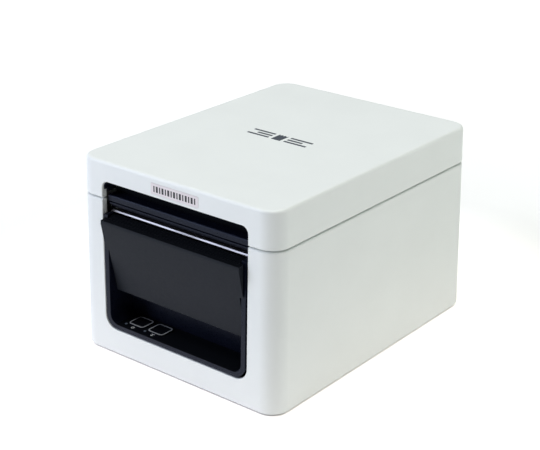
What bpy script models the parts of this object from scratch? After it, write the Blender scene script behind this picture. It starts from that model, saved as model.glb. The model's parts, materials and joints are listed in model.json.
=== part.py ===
"""Desktop receipt printer with a front paper exit, as an assembly of separate pieces.

Frame: +X to the right as seen from the front, the front faces -Y, +Z is up.
The origin is under the middle of the overall box, on the plane that the feet stand on.
Depths are measured back from the top front edge of the case, heights up from the case's lower edge.
"""
import math

import bmesh
import bpy
from mathutils import Matrix, Vector

MM = 0.001

# Driving dimensions of the case
CASE_W = 125.9 * MM
CASE_D = 165.0 * MM
CASE_H = 103.0 * MM
DRAFT = 0.0167
WALL = 3.0 * MM
CORNER_R = 10.0 * MM
TOP_EDGE_R = 1.7 * MM
PARTING_H = 83.7 * MM
PARTING_GAP = 0.7 * MM
FOOT_H = 1.3 * MM
LIP_REACH = 4.3 * MM
HINGE_R = 2.6 * MM
HINGE_OUT = 0.4 * MM

# Clearances
GAP = 0.35 * MM
RUN = 0.25 * MM

# Where depth zero and height zero lie in the part's frame
HINGE_DEPTH = CASE_D + DRAFT * (CASE_H - PARTING_H) + HINGE_OUT
HINGE_REACH = HINGE_DEPTH + HINGE_R - CASE_D
FRONT_Y = LIP_REACH - (CASE_D + LIP_REACH + HINGE_REACH) / 2
BASE_Z = FOOT_H

# Front opening, bezel and recess
OPENING_HALF_W = 46.0 * MM
OPENING_LOW = 13.7 * MM
OPENING_HIGH = 92.8 * MM
OPENING_LOW_R = 7.0 * MM
OPENING_HIGH_R = 3.7 * MM
BEZEL_GAP = 0.5 * MM
BEZEL_RIM = 2.5 * MM
BEZEL_TOP = 75.2 * MM
FLOOR_H = 16.2 * MM
RECESS_DEPTH = 15.0 * MM
RECESS_BACK_TOP = 40.0 * MM
BEZEL_DEPTH = 17.0 * MM
BEZEL_SUNK = 0.1 * MM

# Buttons and lights on the recess floor
BUTTON_W = 10.3 * MM
BUTTON_D = 9.6 * MM
BUTTON_R = 2.0 * MM
BUTTON_PROUD = 0.6 * MM
BUTTON_LENGTH = 4.6 * MM
BUTTON_DEPTH = 8.0 * MM
BUTTON_XS = {"power_button": -30.7 * MM, "feed_button": -17.5 * MM}
LIGHT_R = 0.7 * MM
LIGHT_DEPTH = 2.6 * MM
LIGHT_XS = {"power_light": -36.4 * MM, "status_light": -23.2 * MM}

# Cover lever and its latch
LEVER_HALF_W = 42.6 * MM
LIP_HALF_W = 44.7 * MM
LIP_BACK = -1.2 * MM
LEVER_PIVOT = (9.6 * MM, 37.0 * MM)
LEVER_SHAFT_R = 1.5 * MM
HOOK_X = (46.4 * MM, 48.0 * MM)

# Paper feed: platen in the lid, thermal head in the body, gears on the left
PLATEN = (24.0 * MM, 80.6 * MM)
PLATEN_R = 5.0 * MM
PLATEN_HALF_L = 40.0 * MM
PLATEN_SHAFT_R = 2.0 * MM
PLATEN_SHAFT_X = (-53.0 * MM, 49.0 * MM)
BEARING_R = 3.6 * MM
BEARING_L = 4.1 * MM
BEARING_X = 42.7 * MM
GEAR_MODULE = 0.8 * MM
TOOTH_RISE = 0.80 * GEAR_MODULE
TOOTH_DROP = 1.05 * GEAR_MODULE
TIP_SHARE = 0.11
ROOT_SHARE = 0.30
PLATEN_TEETH = 20
IDLER_TEETH = 24
PINION_TEETH = 12
PINION_SLOPE = math.radians(45)
GEAR_X = (-52.6 * MM, -49.4 * MM)
SIDE_PLATE_X = (43.2 * MM, 44.4 * MM)
MOTOR_R = 11.0 * MM
HEAD_PIVOT = (36.5 * MM, 71.5 * MM)

# Cutter
BLADE_DEPTH = (12.1 * MM, 12.8 * MM)
CUTTER_X = 34.0 * MM
CUTTER_H = 50.0 * MM
CUTTER_MOTOR_R = 7.8 * MM

# Paper compartment
ROLL_CENTRE = (104.0 * MM, 57.8 * MM)
BUCKET_R = 43.2 * MM
BUCKET_WALL = 1.8 * MM
BUCKET_HALF_W = 41.5 * MM
BUCKET_TOP = 81.5 * MM

# Rear sockets: middle X, width, height
BOARD_H = (7.0 * MM, 8.6 * MM)
BOARD_HALF_W = 50.0 * MM
BOARD_DEPTH = (60.0 * MM, 161.0 * MM)
SOCKETS = {
    "power_socket": (34.0 * MM, 14.0 * MM, 12.5 * MM),
    "drawer_socket": (14.0 * MM, 13.2 * MM, 12.5 * MM),
    "usb_socket": (-6.0 * MM, 12.0 * MM, 11.0 * MM),
    "network_socket": (-28.0 * MM, 16.0 * MM, 13.5 * MM),
}
SOCKET_DEPTH = (148.0 * MM, 166.2 * MM)
SOCKET_WALL = 1.5 * MM
SOCKET_HOLLOW = 11.0 * MM
SOCKET_LIFT = 0.3 * MM
SOCKET_ROOM = 0.35 * MM
PANEL_ROOM = 0.4 * MM
PANEL_HALF_W = 46.6 * MM
PANEL_H = (7.2 * MM, 24.9 * MM)
PANEL_DEPTH = (163.8 * MM, 165.9 * MM)
THROUGH_REAR = (160.0 * MM, 170.0 * MM)
THROUGH_FRONT = (-6.0 * MM, 6.0 * MM)

# Colours: red, green, blue, roughness, metallic
LOOKS = {
    "white_plastic": (0.80, 0.82, 0.81, 0.45, 0.0),
    "black_plastic": (0.020, 0.021, 0.026, 0.40, 0.0),
    "charcoal_plastic": (0.035, 0.037, 0.043, 0.50, 0.0),
    "steel": (0.62, 0.63, 0.65, 0.25, 1.0),
    "dark_steel": (0.30, 0.31, 0.33, 0.40, 1.0),
    "aluminium": (0.72, 0.73, 0.75, 0.35, 1.0),
    "rubber": (0.030, 0.030, 0.032, 0.80, 0.0),
    "board_green": (0.02, 0.16, 0.07, 0.50, 0.0),
    "gear_plastic": (0.75, 0.74, 0.68, 0.45, 0.0),
    "label_white": (0.86, 0.82, 0.82, 0.50, 0.0),
    "lens": (0.55, 0.75, 0.95, 0.20, 0.0),
    "ceramic": (0.85, 0.84, 0.80, 0.35, 0.0),
}

PARTS = bpy.data.collections.new("receipt_printer")
CUTTERS = bpy.data.collections.new("cutters")


def at(x, depth, height):
    """A point in the part's frame from its X, its depth behind the front edge and its height."""
    return Vector((x, FRONT_Y + depth, BASE_Z + height))


def flare(height):
    """How far each wall stands outside the top outline at a height."""
    return DRAFT * (CASE_H - height)


def look(name):
    """The Principled material of one kind of surface, made once."""
    existing = bpy.data.materials.get(name)
    if existing:
        return existing
    red, green, blue, roughness, metallic = LOOKS[name]
    made = bpy.data.materials.new(name)
    made.use_nodes = True
    shader = made.node_tree.nodes["Principled BSDF"]
    shader.inputs["Base Color"].default_value = (red, green, blue, 1.0)
    shader.inputs["Roughness"].default_value = roughness
    shader.inputs["Metallic"].default_value = metallic
    made.diffuse_color = (red, green, blue, 1.0)
    return made


def add_part(name, mesh, surface, location):
    """Put a mesh in the printer's collection as a named piece."""
    mesh.materials.clear()
    mesh.materials.append(look(surface))
    piece = bpy.data.objects.new(name, mesh)
    piece.location = location
    PARTS.objects.link(piece)
    return piece


def add_cutter(name, mesh, location):
    """A shape that only takes part in Boolean modifiers."""
    tool = bpy.data.objects.new(name, mesh)
    tool.location = location
    tool.hide_render = True
    tool.display_type = "WIRE"
    CUTTERS.objects.link(tool)
    return tool


def boolean(piece, tool, operation):
    """Cut a tool out of a piece, or join it to the piece."""
    step = piece.modifiers.new(tool.name, "BOOLEAN")
    step.operation = operation
    step.solver = "EXACT"
    step.object = tool


def cut(piece, tool):
    boolean(piece, tool, "DIFFERENCE")


def join(piece, tool):
    boolean(piece, tool, "UNION")


def mesh_from(shape, name):
    """Finish a bmesh as mesh data."""
    mesh = bpy.data.meshes.new(name)
    bmesh.ops.recalc_face_normals(shape, faces=shape.faces)
    shape.to_mesh(mesh)
    shape.free()
    return mesh


def box_mesh(name, size):
    """A box around its own middle."""
    shape = bmesh.new()
    bmesh.ops.create_cube(shape, size=1.0, matrix=Matrix.Diagonal((*size, 1.0)))
    return mesh_from(shape, name)


def span_box(name, xs, depths, heights):
    """Mesh and middle of a box given by its three spans."""
    size = (xs[1] - xs[0], depths[1] - depths[0], heights[1] - heights[0])
    centre = at((xs[0] + xs[1]) / 2, (depths[0] + depths[1]) / 2, (heights[0] + heights[1]) / 2)
    return box_mesh(name, size), centre


AXIS_TURNS = {
    "X": Matrix(((0, 0, 1), (1, 0, 0), (0, 1, 0))).to_4x4(),
    "Y": Matrix(((1, 0, 0), (0, 0, -1), (0, 1, 0))).to_4x4(),
    "Z": Matrix.Identity(4),
}


def rod_mesh(name, radius, length, axis, sides=24):
    """A cylinder around its own middle, along one axis."""
    shape = bmesh.new()
    bmesh.ops.create_cone(shape, cap_ends=True, segments=sides, radius1=radius, radius2=radius,
                          depth=length, matrix=AXIS_TURNS[axis])
    mesh = mesh_from(shape, name)
    mesh.shade_smooth()
    mesh.set_sharp_from_angle(angle=math.radians(40))
    return mesh


def prism_mesh(name, outlines, thickness, axis):
    """A flat outline, with any holes, given a thickness along one axis around its own middle.

    The outline's two coordinates are (X, Y) for axis Z, (X, Z) for axis Y and (Y, Z) for axis X.
    """
    curve = bpy.data.curves.new(name, "CURVE")
    curve.dimensions = "2D"
    curve.fill_mode = "BOTH"
    curve.extrude = thickness / 2
    for outline in outlines:
        spline = curve.splines.new("POLY")
        spline.points.add(len(outline) - 1)
        for point, (across, up) in zip(spline.points, outline):
            point.co = (across, up, 0.0, 1.0)
        spline.use_cyclic_u = True
    holder = bpy.data.objects.new(name, curve)
    bpy.context.scene.collection.objects.link(holder)
    graph = bpy.context.evaluated_depsgraph_get()
    mesh = bpy.data.meshes.new_from_object(holder.evaluated_get(graph))
    bpy.data.objects.remove(holder)
    bpy.data.curves.remove(curve)
    shape = bmesh.new()
    shape.from_mesh(mesh)
    bpy.data.meshes.remove(mesh)
    bmesh.ops.remove_doubles(shape, verts=shape.verts, dist=0.000001)
    bmesh.ops.transform(shape, matrix=AXIS_TURNS[axis], verts=shape.verts)
    return mesh_from(shape, name)


def arc(centre, radius, start, end, steps):
    """Points along an arc, angles in degrees."""
    points = []
    for step in range(steps + 1):
        angle = math.radians(start + (end - start) * step / steps)
        points.append((centre[0] + radius * math.cos(angle), centre[1] + radius * math.sin(angle)))
    return points


def circle(centre, radius, sides=20):
    return arc(centre, radius, 0, 360 * (sides - 1) / sides, sides - 1)


def rounded(low, high, low_r, high_r, steps=5):
    """A rectangle with one radius on its two lower corners and another on its two upper ones."""
    points = arc((low[0] + low_r, low[1] + low_r), low_r, 180, 270, steps)
    points += arc((high[0] - low_r, low[1] + low_r), low_r, 270, 360, steps)
    points += arc((high[0] - high_r, high[1] - high_r), high_r, 0, 90, steps)
    points += arc((low[0] + high_r, high[1] - high_r), high_r, 90, 180, steps)
    return points


def gear_outline(teeth, turn):
    """Outline of a spur gear around (0, 0), with a tooth pointing along the angle turn."""
    pitch_r = GEAR_MODULE * teeth / 2
    tip_r = pitch_r + TOOTH_RISE
    root_r = pitch_r - TOOTH_DROP
    step = 2 * math.pi / teeth
    corners = ((root_r, -ROOT_SHARE), (tip_r, -TIP_SHARE), (tip_r, TIP_SHARE), (root_r, ROOT_SHARE))
    points = []
    for tooth in range(teeth):
        for radius, share in corners:
            angle = turn + (tooth + share) * step
            points.append((radius * math.cos(angle), radius * math.sin(angle)))
    return points


def middle(span):
    return (span[0] + span[1]) / 2


def width(span):
    return span[1] - span[0]


def tapered_block(name, low, high, inset=0.0):
    """The case's outline between two heights, with its rounded upright corners, inset if asked."""
    shape = bmesh.new()
    bmesh.ops.create_cube(shape, size=1.0)
    for vert in shape.verts:
        height = high if vert.co.z > 0 else low
        half_w = CASE_W / 2 + flare(height) - inset
        half_d = CASE_D / 2 + flare(height) - inset
        vert.co = (math.copysign(half_w, vert.co.x), math.copysign(half_d, vert.co.y), height)
    upright = [edge for edge in shape.edges if abs(edge.verts[0].co.z - edge.verts[1].co.z) > MM]
    bmesh.ops.bevel(shape, geom=upright, offset=CORNER_R - inset, offset_type="OFFSET", segments=8,
                    profile=0.5, affect="EDGES")
    return shape


def faces_at(shape, height):
    """Faces of a block that lie level at one height."""
    level = []
    for face in shape.faces:
        if all(abs(vert.co.z - height) < 0.01 * MM for vert in face.verts):
            level.append(face)
    return level


CASE_ORIGIN = at(0.0, CASE_D / 2, 0.0)
LOWER_TOP = PARTING_H - PARTING_GAP / 2
LID_LOW = PARTING_H + PARTING_GAP / 2


def opening_cutter():
    """The front opening's outline, long enough to pass through the front wall."""
    outline = rounded((-OPENING_HALF_W, OPENING_LOW), (OPENING_HALF_W, OPENING_HIGH),
                      OPENING_LOW_R, OPENING_HIGH_R, 6)
    mesh = prism_mesh("opening_shape", [outline], width(THROUGH_FRONT), "Y")
    return add_cutter("opening_shape", mesh, at(0.0, middle(THROUGH_FRONT), 0.0))


CASE_KNUCKLES = ((24.0 * MM, 29.5 * MM), (38.5 * MM, 44.0 * MM))
LID_KNUCKLES = ((30.0 * MM, 38.0 * MM),)
HINGE_PIN_R = 1.0 * MM
HINGE_PIN_L = 20.0 * MM
HINGE_X = 34.0 * MM


def hinge_tools(piece, own, other, side):
    """Knuckles joined to a piece, and the room that it leaves for the other piece's knuckles."""
    axis_point = (HINGE_DEPTH, PARTING_H)
    for span in other:
        name = f"{piece.name}_relief_{side}_{round(span[0] / MM)}"
        mesh = rod_mesh(name, HINGE_R + 0.4 * MM, width(span) + 0.7 * MM, "X")
        cut(piece, add_cutter(name, mesh, at(side * middle(span), *axis_point)))
    for span in own:
        name = f"{piece.name}_knuckle_{side}_{round(span[0] / MM)}"
        mesh = rod_mesh(name, HINGE_R, width(span), "X")
        join(piece, add_cutter(name, mesh, at(side * middle(span), *axis_point)))
    name = f"{piece.name}_pin_bore_{side}"
    mesh = rod_mesh(name, HINGE_PIN_R + RUN, HINGE_PIN_L + 0.2 * MM, "X", 16)
    cut(piece, add_cutter(name, mesh, at(side * HINGE_X, *axis_point)))


def lower_case(opening):
    """White lower shell: four drafted walls, open at the top and at the bottom."""
    shape = tapered_block("lower_case", 0.0, LOWER_TOP)
    ends = faces_at(shape, 0.0) + faces_at(shape, LOWER_TOP)
    bmesh.ops.delete(shape, geom=ends, context="FACES")
    case = add_part("lower_case", mesh_from(shape, "lower_case"), "white_plastic", CASE_ORIGIN)
    shell = case.modifiers.new("wall", "SOLIDIFY")
    shell.thickness = WALL
    shell.offset = -1.0
    shell.use_even_offset = True
    cut(case, opening)
    half_w = PANEL_HALF_W + PANEL_ROOM
    heights = (PANEL_H[0] - PANEL_ROOM, PANEL_H[1] + PANEL_ROOM)
    mesh, where = span_box("panel_hole", (-half_w, half_w), THROUGH_REAR, heights)
    cut(case, add_cutter("panel_hole", mesh, where))
    for side in (-1, 1):
        hinge_tools(case, CASE_KNUCKLES, LID_KNUCKLES, side)
    return case


LABEL_SPAN = (-13.6 * MM, 16.9 * MM)
LABEL_H = (94.0 * MM, 99.9 * MM)
LABEL_RECESS = 0.7 * MM
LABEL_THICK = 0.5 * MM


def lid_shell(opening):
    """White lid: a shallow drafted tray with a rounded top edge, hollowed from below."""
    shape = tapered_block("lid_shell", LID_LOW, CASE_H)
    top = faces_at(shape, CASE_H)
    rim = list(top[0].edges)
    bmesh.ops.bevel(shape, geom=rim, offset=TOP_EDGE_R, offset_type="OFFSET", segments=4,
                    profile=0.5, affect="EDGES")
    lid = add_part("lid_shell", mesh_from(shape, "lid_shell"), "white_plastic", CASE_ORIGIN)
    hollow = tapered_block("lid_hollow", LID_LOW - 5 * MM, CASE_H - WALL, WALL)
    cut(lid, add_cutter("lid_hollow", mesh_from(hollow, "lid_hollow"), CASE_ORIGIN))
    cut(lid, opening)
    front = -flare(middle(LABEL_H))
    mesh, where = span_box("label_recess", LABEL_SPAN, (front - 3 * MM, front + LABEL_RECESS), LABEL_H)
    cut(lid, add_cutter("label_recess", mesh, where))
    for side in (-1, 1):
        hinge_tools(lid, LID_KNUCKLES, CASE_KNUCKLES, side)
    return lid


def label_plate():
    """Blank plate in a shallow recess on the lid's front."""
    edge = 0.15 * MM
    back = -flare(middle(LABEL_H)) + LABEL_RECESS - 0.3 * MM
    low = (LABEL_SPAN[0] + edge, LABEL_H[0] + edge)
    high = (LABEL_SPAN[1] - edge, LABEL_H[1] - edge)
    mesh = prism_mesh("label_plate", [rounded(low, high, 0.6 * MM, 0.6 * MM, 3)], LABEL_THICK, "Y")
    add_part("label_plate", mesh, "label_white", at(0.0, back - LABEL_THICK / 2, 0.0))


def hinge_pins():
    """Two steel pins through the knuckles at the back."""
    for name, side in (("hinge_pin_left", -1), ("hinge_pin_right", 1)):
        mesh = rod_mesh(name, HINGE_PIN_R, HINGE_PIN_L, "X", 16)
        add_part(name, mesh, "steel", at(side * HINGE_X, HINGE_DEPTH, PARTING_H))


FEET = {
    "foot_front_left": (-50.0 * MM, 14.0 * MM),
    "foot_front_right": (50.0 * MM, 14.0 * MM),
    "foot_rear_left": (-50.0 * MM, 150.0 * MM),
    "foot_rear_right": (50.0 * MM, 150.0 * MM),
}
SCREWS = {
    "base_screw_front_left": (-53.0 * MM, 32.0 * MM),
    "base_screw_front_right": (53.0 * MM, 32.0 * MM),
    "base_screw_rear_left": (-53.0 * MM, 132.0 * MM),
    "base_screw_rear_right": (53.0 * MM, 132.0 * MM),
}
FOOT_R = 6.5 * MM
SCREW_HOLE_R = 1.6 * MM
SCREW_PROFILE = ((0.0, -0.9), (2.4, -0.9), (2.8, -0.6), (2.8, 0.0), (1.2, 0.0), (1.2, 7.0), (0.0, 8.0))
BASE_H = (0.3 * MM, 2.5 * MM)
STANDOFF_XS = (-44.0 * MM, 44.0 * MM)
STANDOFF_DEPTHS = (64.0 * MM, 130.0 * MM)
STANDOFF_R = 3.0 * MM


def base_plate():
    """Dark plate that closes the case from below, with standoffs for the main board."""
    edge = WALL + 0.4 * MM
    half_w = CASE_W / 2 + flare(BASE_H[1]) - edge
    half_d = CASE_D / 2 + flare(BASE_H[1]) - edge
    outline = rounded((-half_w, -half_d), (half_w, half_d), CORNER_R - edge, CORNER_R - edge)
    holes = [circle((x, depth - CASE_D / 2), SCREW_HOLE_R, 12) for x, depth in SCREWS.values()]
    mesh = prism_mesh("base_plate", [outline, *holes], width(BASE_H), "Z")
    plate = add_part("base_plate", mesh, "black_plastic", at(0.0, CASE_D / 2, middle(BASE_H)))
    heights = (BASE_H[0] + 1 * MM, BOARD_H[0] - GAP)
    for x in STANDOFF_XS:
        for depth in STANDOFF_DEPTHS:
            name = f"standoff_{round(x / MM)}_{round(depth / MM)}"
            post = rod_mesh(name, STANDOFF_R, width(heights), "Z", 12)
            join(plate, add_cutter(name, post, at(x, depth, middle(heights))))


def feet_and_screws():
    """Four rubber feet and the four screws that hold the base plate."""
    for name, (x, depth) in FEET.items():
        mesh = rod_mesh(name, FOOT_R, FOOT_H, "Z")
        add_part(name, mesh, "rubber", at(x, depth, -FOOT_H / 2))
    for name, (x, depth) in SCREWS.items():
        add_part(name, turned_mesh(name, SCREW_PROFILE, 12), "dark_steel", at(x, depth, 0.0))


def turned_mesh(name, profile, steps):
    """A profile of (radius, height) pairs in millimetres, turned about the Z axis."""
    shape = bmesh.new()
    verts = [shape.verts.new((radius * MM, 0.0, height * MM)) for radius, height in profile]
    edges = [shape.edges.new(pair) for pair in zip(verts, verts[1:])]
    bmesh.ops.spin(shape, geom=verts + edges, cent=(0, 0, 0), axis=(0, 0, 1), dvec=(0, 0, 0),
                   angle=2 * math.pi, steps=steps, use_merge=True)
    bmesh.ops.remove_doubles(shape, verts=shape.verts, dist=0.000001)
    return mesh_from(shape, name)


def front_bezel():
    """Black frame of the front recess: rim, side walls, floor and a low back wall."""
    half_w = OPENING_HALF_W - BEZEL_GAP
    low = OPENING_LOW + BEZEL_GAP
    corner = OPENING_LOW_R - BEZEL_GAP
    outline = arc((-half_w + corner, low + corner), corner, 180, 270, 6)
    outline += arc((half_w - corner, low + corner), corner, 270, 360, 6)
    outline += [(half_w, BEZEL_TOP), (-half_w, BEZEL_TOP)]
    depths = (-2 * MM, BEZEL_DEPTH)
    mesh = prism_mesh("front_bezel", [outline], width(depths), "Y")
    for vert in mesh.vertices:
        if vert.co.y < 0:
            vert.co.y = BEZEL_SUNK - flare(vert.co.z) - middle(depths)
    bezel = add_part("front_bezel", mesh, "black_plastic", at(0.0, middle(depths), 0.0))
    inner_half_w = half_w - BEZEL_RIM
    inner_r = corner - 1.5 * MM
    above = BEZEL_TOP + 15 * MM
    well = rounded((-inner_half_w, FLOOR_H), (inner_half_w, above), inner_r, 1 * MM)
    well_depths = (THROUGH_FRONT[0], RECESS_DEPTH)
    mesh = prism_mesh("recess_shape", [well], width(well_depths), "Y")
    cut(bezel, add_cutter("recess_shape", mesh, at(0.0, middle(well_depths), 0.0)))
    mesh, where = span_box("recess_rear", (-inner_half_w, inner_half_w),
                           (RECESS_DEPTH - 5 * MM, BEZEL_DEPTH + 3 * MM), (RECESS_BACK_TOP, above))
    cut(bezel, add_cutter("recess_rear", mesh, where))
    mesh = rod_mesh("lever_shaft_bore", LEVER_SHAFT_R + 0.3 * MM, 110 * MM, "X")
    cut(bezel, add_cutter("lever_shaft_bore", mesh, at(0.0, *LEVER_PIVOT)))
    floor_span = (FLOOR_H - 4 * MM, FLOOR_H + 2 * MM)
    for name, x in BUTTON_XS.items():
        outline = button_outline(0.3 * MM)
        mesh = prism_mesh(f"{name}_hole", [outline], width(floor_span), "Z")
        cut(bezel, add_cutter(f"{name}_hole", mesh, at(x, BUTTON_DEPTH, middle(floor_span))))
    for name, x in LIGHT_XS.items():
        mesh = rod_mesh(f"{name}_hole", LIGHT_R + 0.3 * MM, width(floor_span), "Z", 12)
        cut(bezel, add_cutter(f"{name}_hole", mesh, at(x, LIGHT_DEPTH, middle(floor_span))))


def button_outline(grow):
    """A button's rounded outline around its own middle, grown on all sides."""
    low = (-BUTTON_W / 2 - grow, -BUTTON_D / 2 - grow)
    high = (BUTTON_W / 2 + grow, BUTTON_D / 2 + grow)
    return rounded(low, high, BUTTON_R + grow, BUTTON_R + grow, 4)


SWITCH_BOARD_X = (-40.0 * MM, -10.0 * MM)
SWITCH_BOARD_DEPTH = (3.0 * MM, 14.0 * MM)
SWITCH_BOARD_H = (8.2 * MM, 9.6 * MM)
LIGHT_L = 4.0 * MM
LIGHT_PROUD = 0.15 * MM


def buttons_and_lights():
    """Two push buttons, two small lights and the board with their switches underneath."""
    for name, x in BUTTON_XS.items():
        mesh = prism_mesh(name, [button_outline(0.0)], BUTTON_LENGTH, "Z")
        height = FLOOR_H + BUTTON_PROUD - BUTTON_LENGTH / 2
        cap = add_part(name, mesh, "black_plastic", at(x, BUTTON_DEPTH, height))
        edge = cap.modifiers.new("edge", "BEVEL")
        edge.width = 0.4 * MM
        edge.segments = 2
        edge.limit_method = "ANGLE"
        edge.angle_limit = math.radians(60)
    for name, x in LIGHT_XS.items():
        mesh = rod_mesh(name, LIGHT_R, LIGHT_L, "Z", 12)
        add_part(name, mesh, "lens", at(x, LIGHT_DEPTH, FLOOR_H + LIGHT_PROUD - LIGHT_L / 2))
    mesh, where = span_box("switch_board", SWITCH_BOARD_X, SWITCH_BOARD_DEPTH, SWITCH_BOARD_H)
    add_part("switch_board", mesh, "board_green", where)


TEAR_BAR_H = (75.6 * MM, 76.5 * MM)
TEAR_BAR_DEPTH = (4.2 * MM, 10.8 * MM)


def tear_bar():
    """Steel strip across the opening, just under the paper slot."""
    half_w = OPENING_HALF_W - 0.6 * MM
    mesh, where = span_box("tear_bar", (-half_w, half_w), TEAR_BAR_DEPTH, TEAR_BAR_H)
    add_part("tear_bar", mesh, "steel", where)


def shifted(points, origin):
    """Outline points in millimetres, measured from an origin in metres."""
    return [(depth * MM - origin[0], height * MM - origin[1]) for depth, height in points]


LEVER_PROFILE = (
    (3.5, 33.5), (-4.3, 71.6), (-4.1, 73.3), (-1.6, 73.6), (-1.6, 74.1), (0.9, 74.3), (0.9, 74.8),
    (3.5, 74.95), (3.5, 72.6), (0.2, 71.8), (6.6, 34.2), (5.9, 33.2), (4.2, 33.0),
)
LEVER_SPRING_R = 2.15 * MM
LEVER_SPRING_X = (-38.0 * MM, -32.5 * MM)
LEVER_SPRING_TURNS = 5
LEVER_ARM_X = 40.6 * MM
LEVER_ARM_W = 3.0 * MM
LEVER_SHAFT_L = 98.4 * MM
LEVER_ARM = ((4.0, 35.0), (6.5, 33.6), (11.1, 33.6), (12.6, 36.0), (12.2, 40.0), (2.6, 58.0))


def cover_lever():
    """Large slanted flap: its lip is pulled forward to release the lid."""
    profile = shifted(LEVER_PROFILE, LEVER_PIVOT)
    mesh = prism_mesh("cover_lever", [profile], 2 * LIP_HALF_W, "X")
    lever = add_part("cover_lever", mesh, "charcoal_plastic", at(0.0, *LEVER_PIVOT))
    arm_outline = shifted(LEVER_ARM, LEVER_PIVOT)
    for side in (-1, 1):
        notch_x = sorted((side * LEVER_HALF_W, side * (LIP_HALF_W + 2 * MM)))
        mesh, where = span_box(f"lever_notch_{side}", notch_x, (LIP_BACK, 12 * MM), (30 * MM, 80 * MM))
        cut(lever, add_cutter(f"lever_notch_{side}", mesh, where))
        mesh = prism_mesh(f"lever_arm_{side}", [arm_outline], LEVER_ARM_W, "X")
        join(lever, add_cutter(f"lever_arm_{side}", mesh, at(side * LEVER_ARM_X, *LEVER_PIVOT)))
    bore = rod_mesh("lever_bore", LEVER_SHAFT_R + RUN, 100 * MM, "X")
    cut(lever, add_cutter("lever_bore", bore, at(0.0, *LEVER_PIVOT)))
    mesh = rod_mesh("lever_shaft", LEVER_SHAFT_R, LEVER_SHAFT_L, "X", 16)
    add_part("lever_shaft", mesh, "steel", at(0.0, *LEVER_PIVOT))
    mesh = coil_mesh("lever_spring", LEVER_SPRING_R, width(LEVER_SPRING_X), LEVER_SPRING_TURNS)
    mesh.transform(AXIS_TURNS["X"])
    add_part("lever_spring", mesh, "steel", at(LEVER_SPRING_X[0], *LEVER_PIVOT))


HOOK_PROFILE = (
    (6.8, 34.2), (12.2, 34.2), (13.4, 40.0), (19.4, 66.0), (19.4, 80.8), (21.5, 82.0), (21.5, 83.2),
    (19.6, 84.4), (16.4, 84.4), (15.8, 66.0), (8.4, 41.0), (6.8, 39.6),
)


def latch_hooks():
    """Two hooks on the lever's shaft that reach to the platen shaft's ends."""
    outline = shifted(HOOK_PROFILE, LEVER_PIVOT)
    bore = circle((0.0, 0.0), LEVER_SHAFT_R + RUN)
    for name, side in (("latch_hook_left", -1), ("latch_hook_right", 1)):
        mesh = prism_mesh(name, [outline, bore], width(HOOK_X), "X")
        add_part(name, mesh, "steel", at(side * middle(HOOK_X), *LEVER_PIVOT))


FRONT_PANEL_PROFILE = (
    (4.6, 78.3), (4.6, 79.5), (3.0, 80.0), (2.6, 80.3), (2.6, 81.1), (3.9, 81.35), (3.9, 81.65), (2.3, 81.9),
    (2.3, 84.5), (2.8, 85.0), (8.2, 85.4), (8.2, 99.5), (11.4, 99.5), (11.4, 80.2), (9.6, 78.3),
)
FIXED_BLADE_DEPTH = (13.1 * MM, 13.9 * MM)
FIXED_BLADE_HALF_W = 40.0 * MM
FIXED_BLADE_H = (77.5 * MM, 85.0 * MM)
FRONT_PANEL_GAP = 0.8 * MM
LID_FRAME_DEPTH = (14.25 * MM, 60.0 * MM)
LID_FRAME_H = (97.0 * MM, 99.6 * MM)
LID_WALL_DEPTH = (14.25 * MM, 16.6 * MM)
LID_WALL_H = (78.0 * MM, 98.0 * MM)
LID_CHEEK_X = (40.6 * MM, 42.4 * MM)
LID_CHEEK = (
    (14.25, 77.6), (17.6, 77.6), (17.9, 76.6), (20.0, 74.9), (24.0, 74.3), (28.0, 74.9),
    (30.3, 78.0), (32.0, 84.0), (38.0, 99.6), (14.25, 99.6),
)


def lid_pieces():
    """Black parts fixed in the lid: ribbed front panel, carrying frame, fixed blade, bearings."""
    half_w = OPENING_HALF_W - FRONT_PANEL_GAP
    origin = (0.0, 0.0)
    mesh = prism_mesh("lid_front_panel", [shifted(FRONT_PANEL_PROFILE, origin)], 2 * half_w, "X")
    add_part("lid_front_panel", mesh, "black_plastic", at(0.0, 0.0, 0.0))
    bar_half_w = LID_CHEEK_X[1]
    mesh, where = span_box("lid_frame", (-bar_half_w, bar_half_w), LID_FRAME_DEPTH, LID_FRAME_H)
    frame = add_part("lid_frame", mesh, "black_plastic", where)
    wall_half_w = bar_half_w - MM
    mesh, where = span_box("lid_frame_front", (-wall_half_w, wall_half_w), LID_WALL_DEPTH, LID_WALL_H)
    join(frame, add_cutter("lid_frame_front", mesh, where))
    bore = circle(PLATEN, BEARING_R + RUN)
    for side in (-1, 1):
        name = f"lid_cheek_{side}"
        mesh = prism_mesh(name, [shifted(LID_CHEEK, origin), bore], width(LID_CHEEK_X), "X")
        join(frame, add_cutter(name, mesh, at(side * middle(LID_CHEEK_X), 0.0, 0.0)))
    blade_x = (-FIXED_BLADE_HALF_W, FIXED_BLADE_HALF_W)
    mesh, where = span_box("fixed_blade", blade_x, FIXED_BLADE_DEPTH, FIXED_BLADE_H)
    add_part("fixed_blade", mesh, "steel", where)
    ring = [circle((0.0, 0.0), BEARING_R), circle((0.0, 0.0), PLATEN_SHAFT_R + RUN)]
    for name, side in (("platen_bearing_left", -1), ("platen_bearing_right", 1)):
        mesh = prism_mesh(name, ring, BEARING_L, "X")
        add_part(name, mesh, "gear_plastic", at(side * BEARING_X, *PLATEN))


IDLER = (PLATEN[0], PLATEN[1] - GEAR_MODULE * (PLATEN_TEETH + IDLER_TEETH) / 2)
PINION_REACH = GEAR_MODULE * (IDLER_TEETH + PINION_TEETH) / 2
PINION = (IDLER[0] + PINION_REACH * math.cos(PINION_SLOPE),
          IDLER[1] - PINION_REACH * math.sin(PINION_SLOPE))


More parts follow.
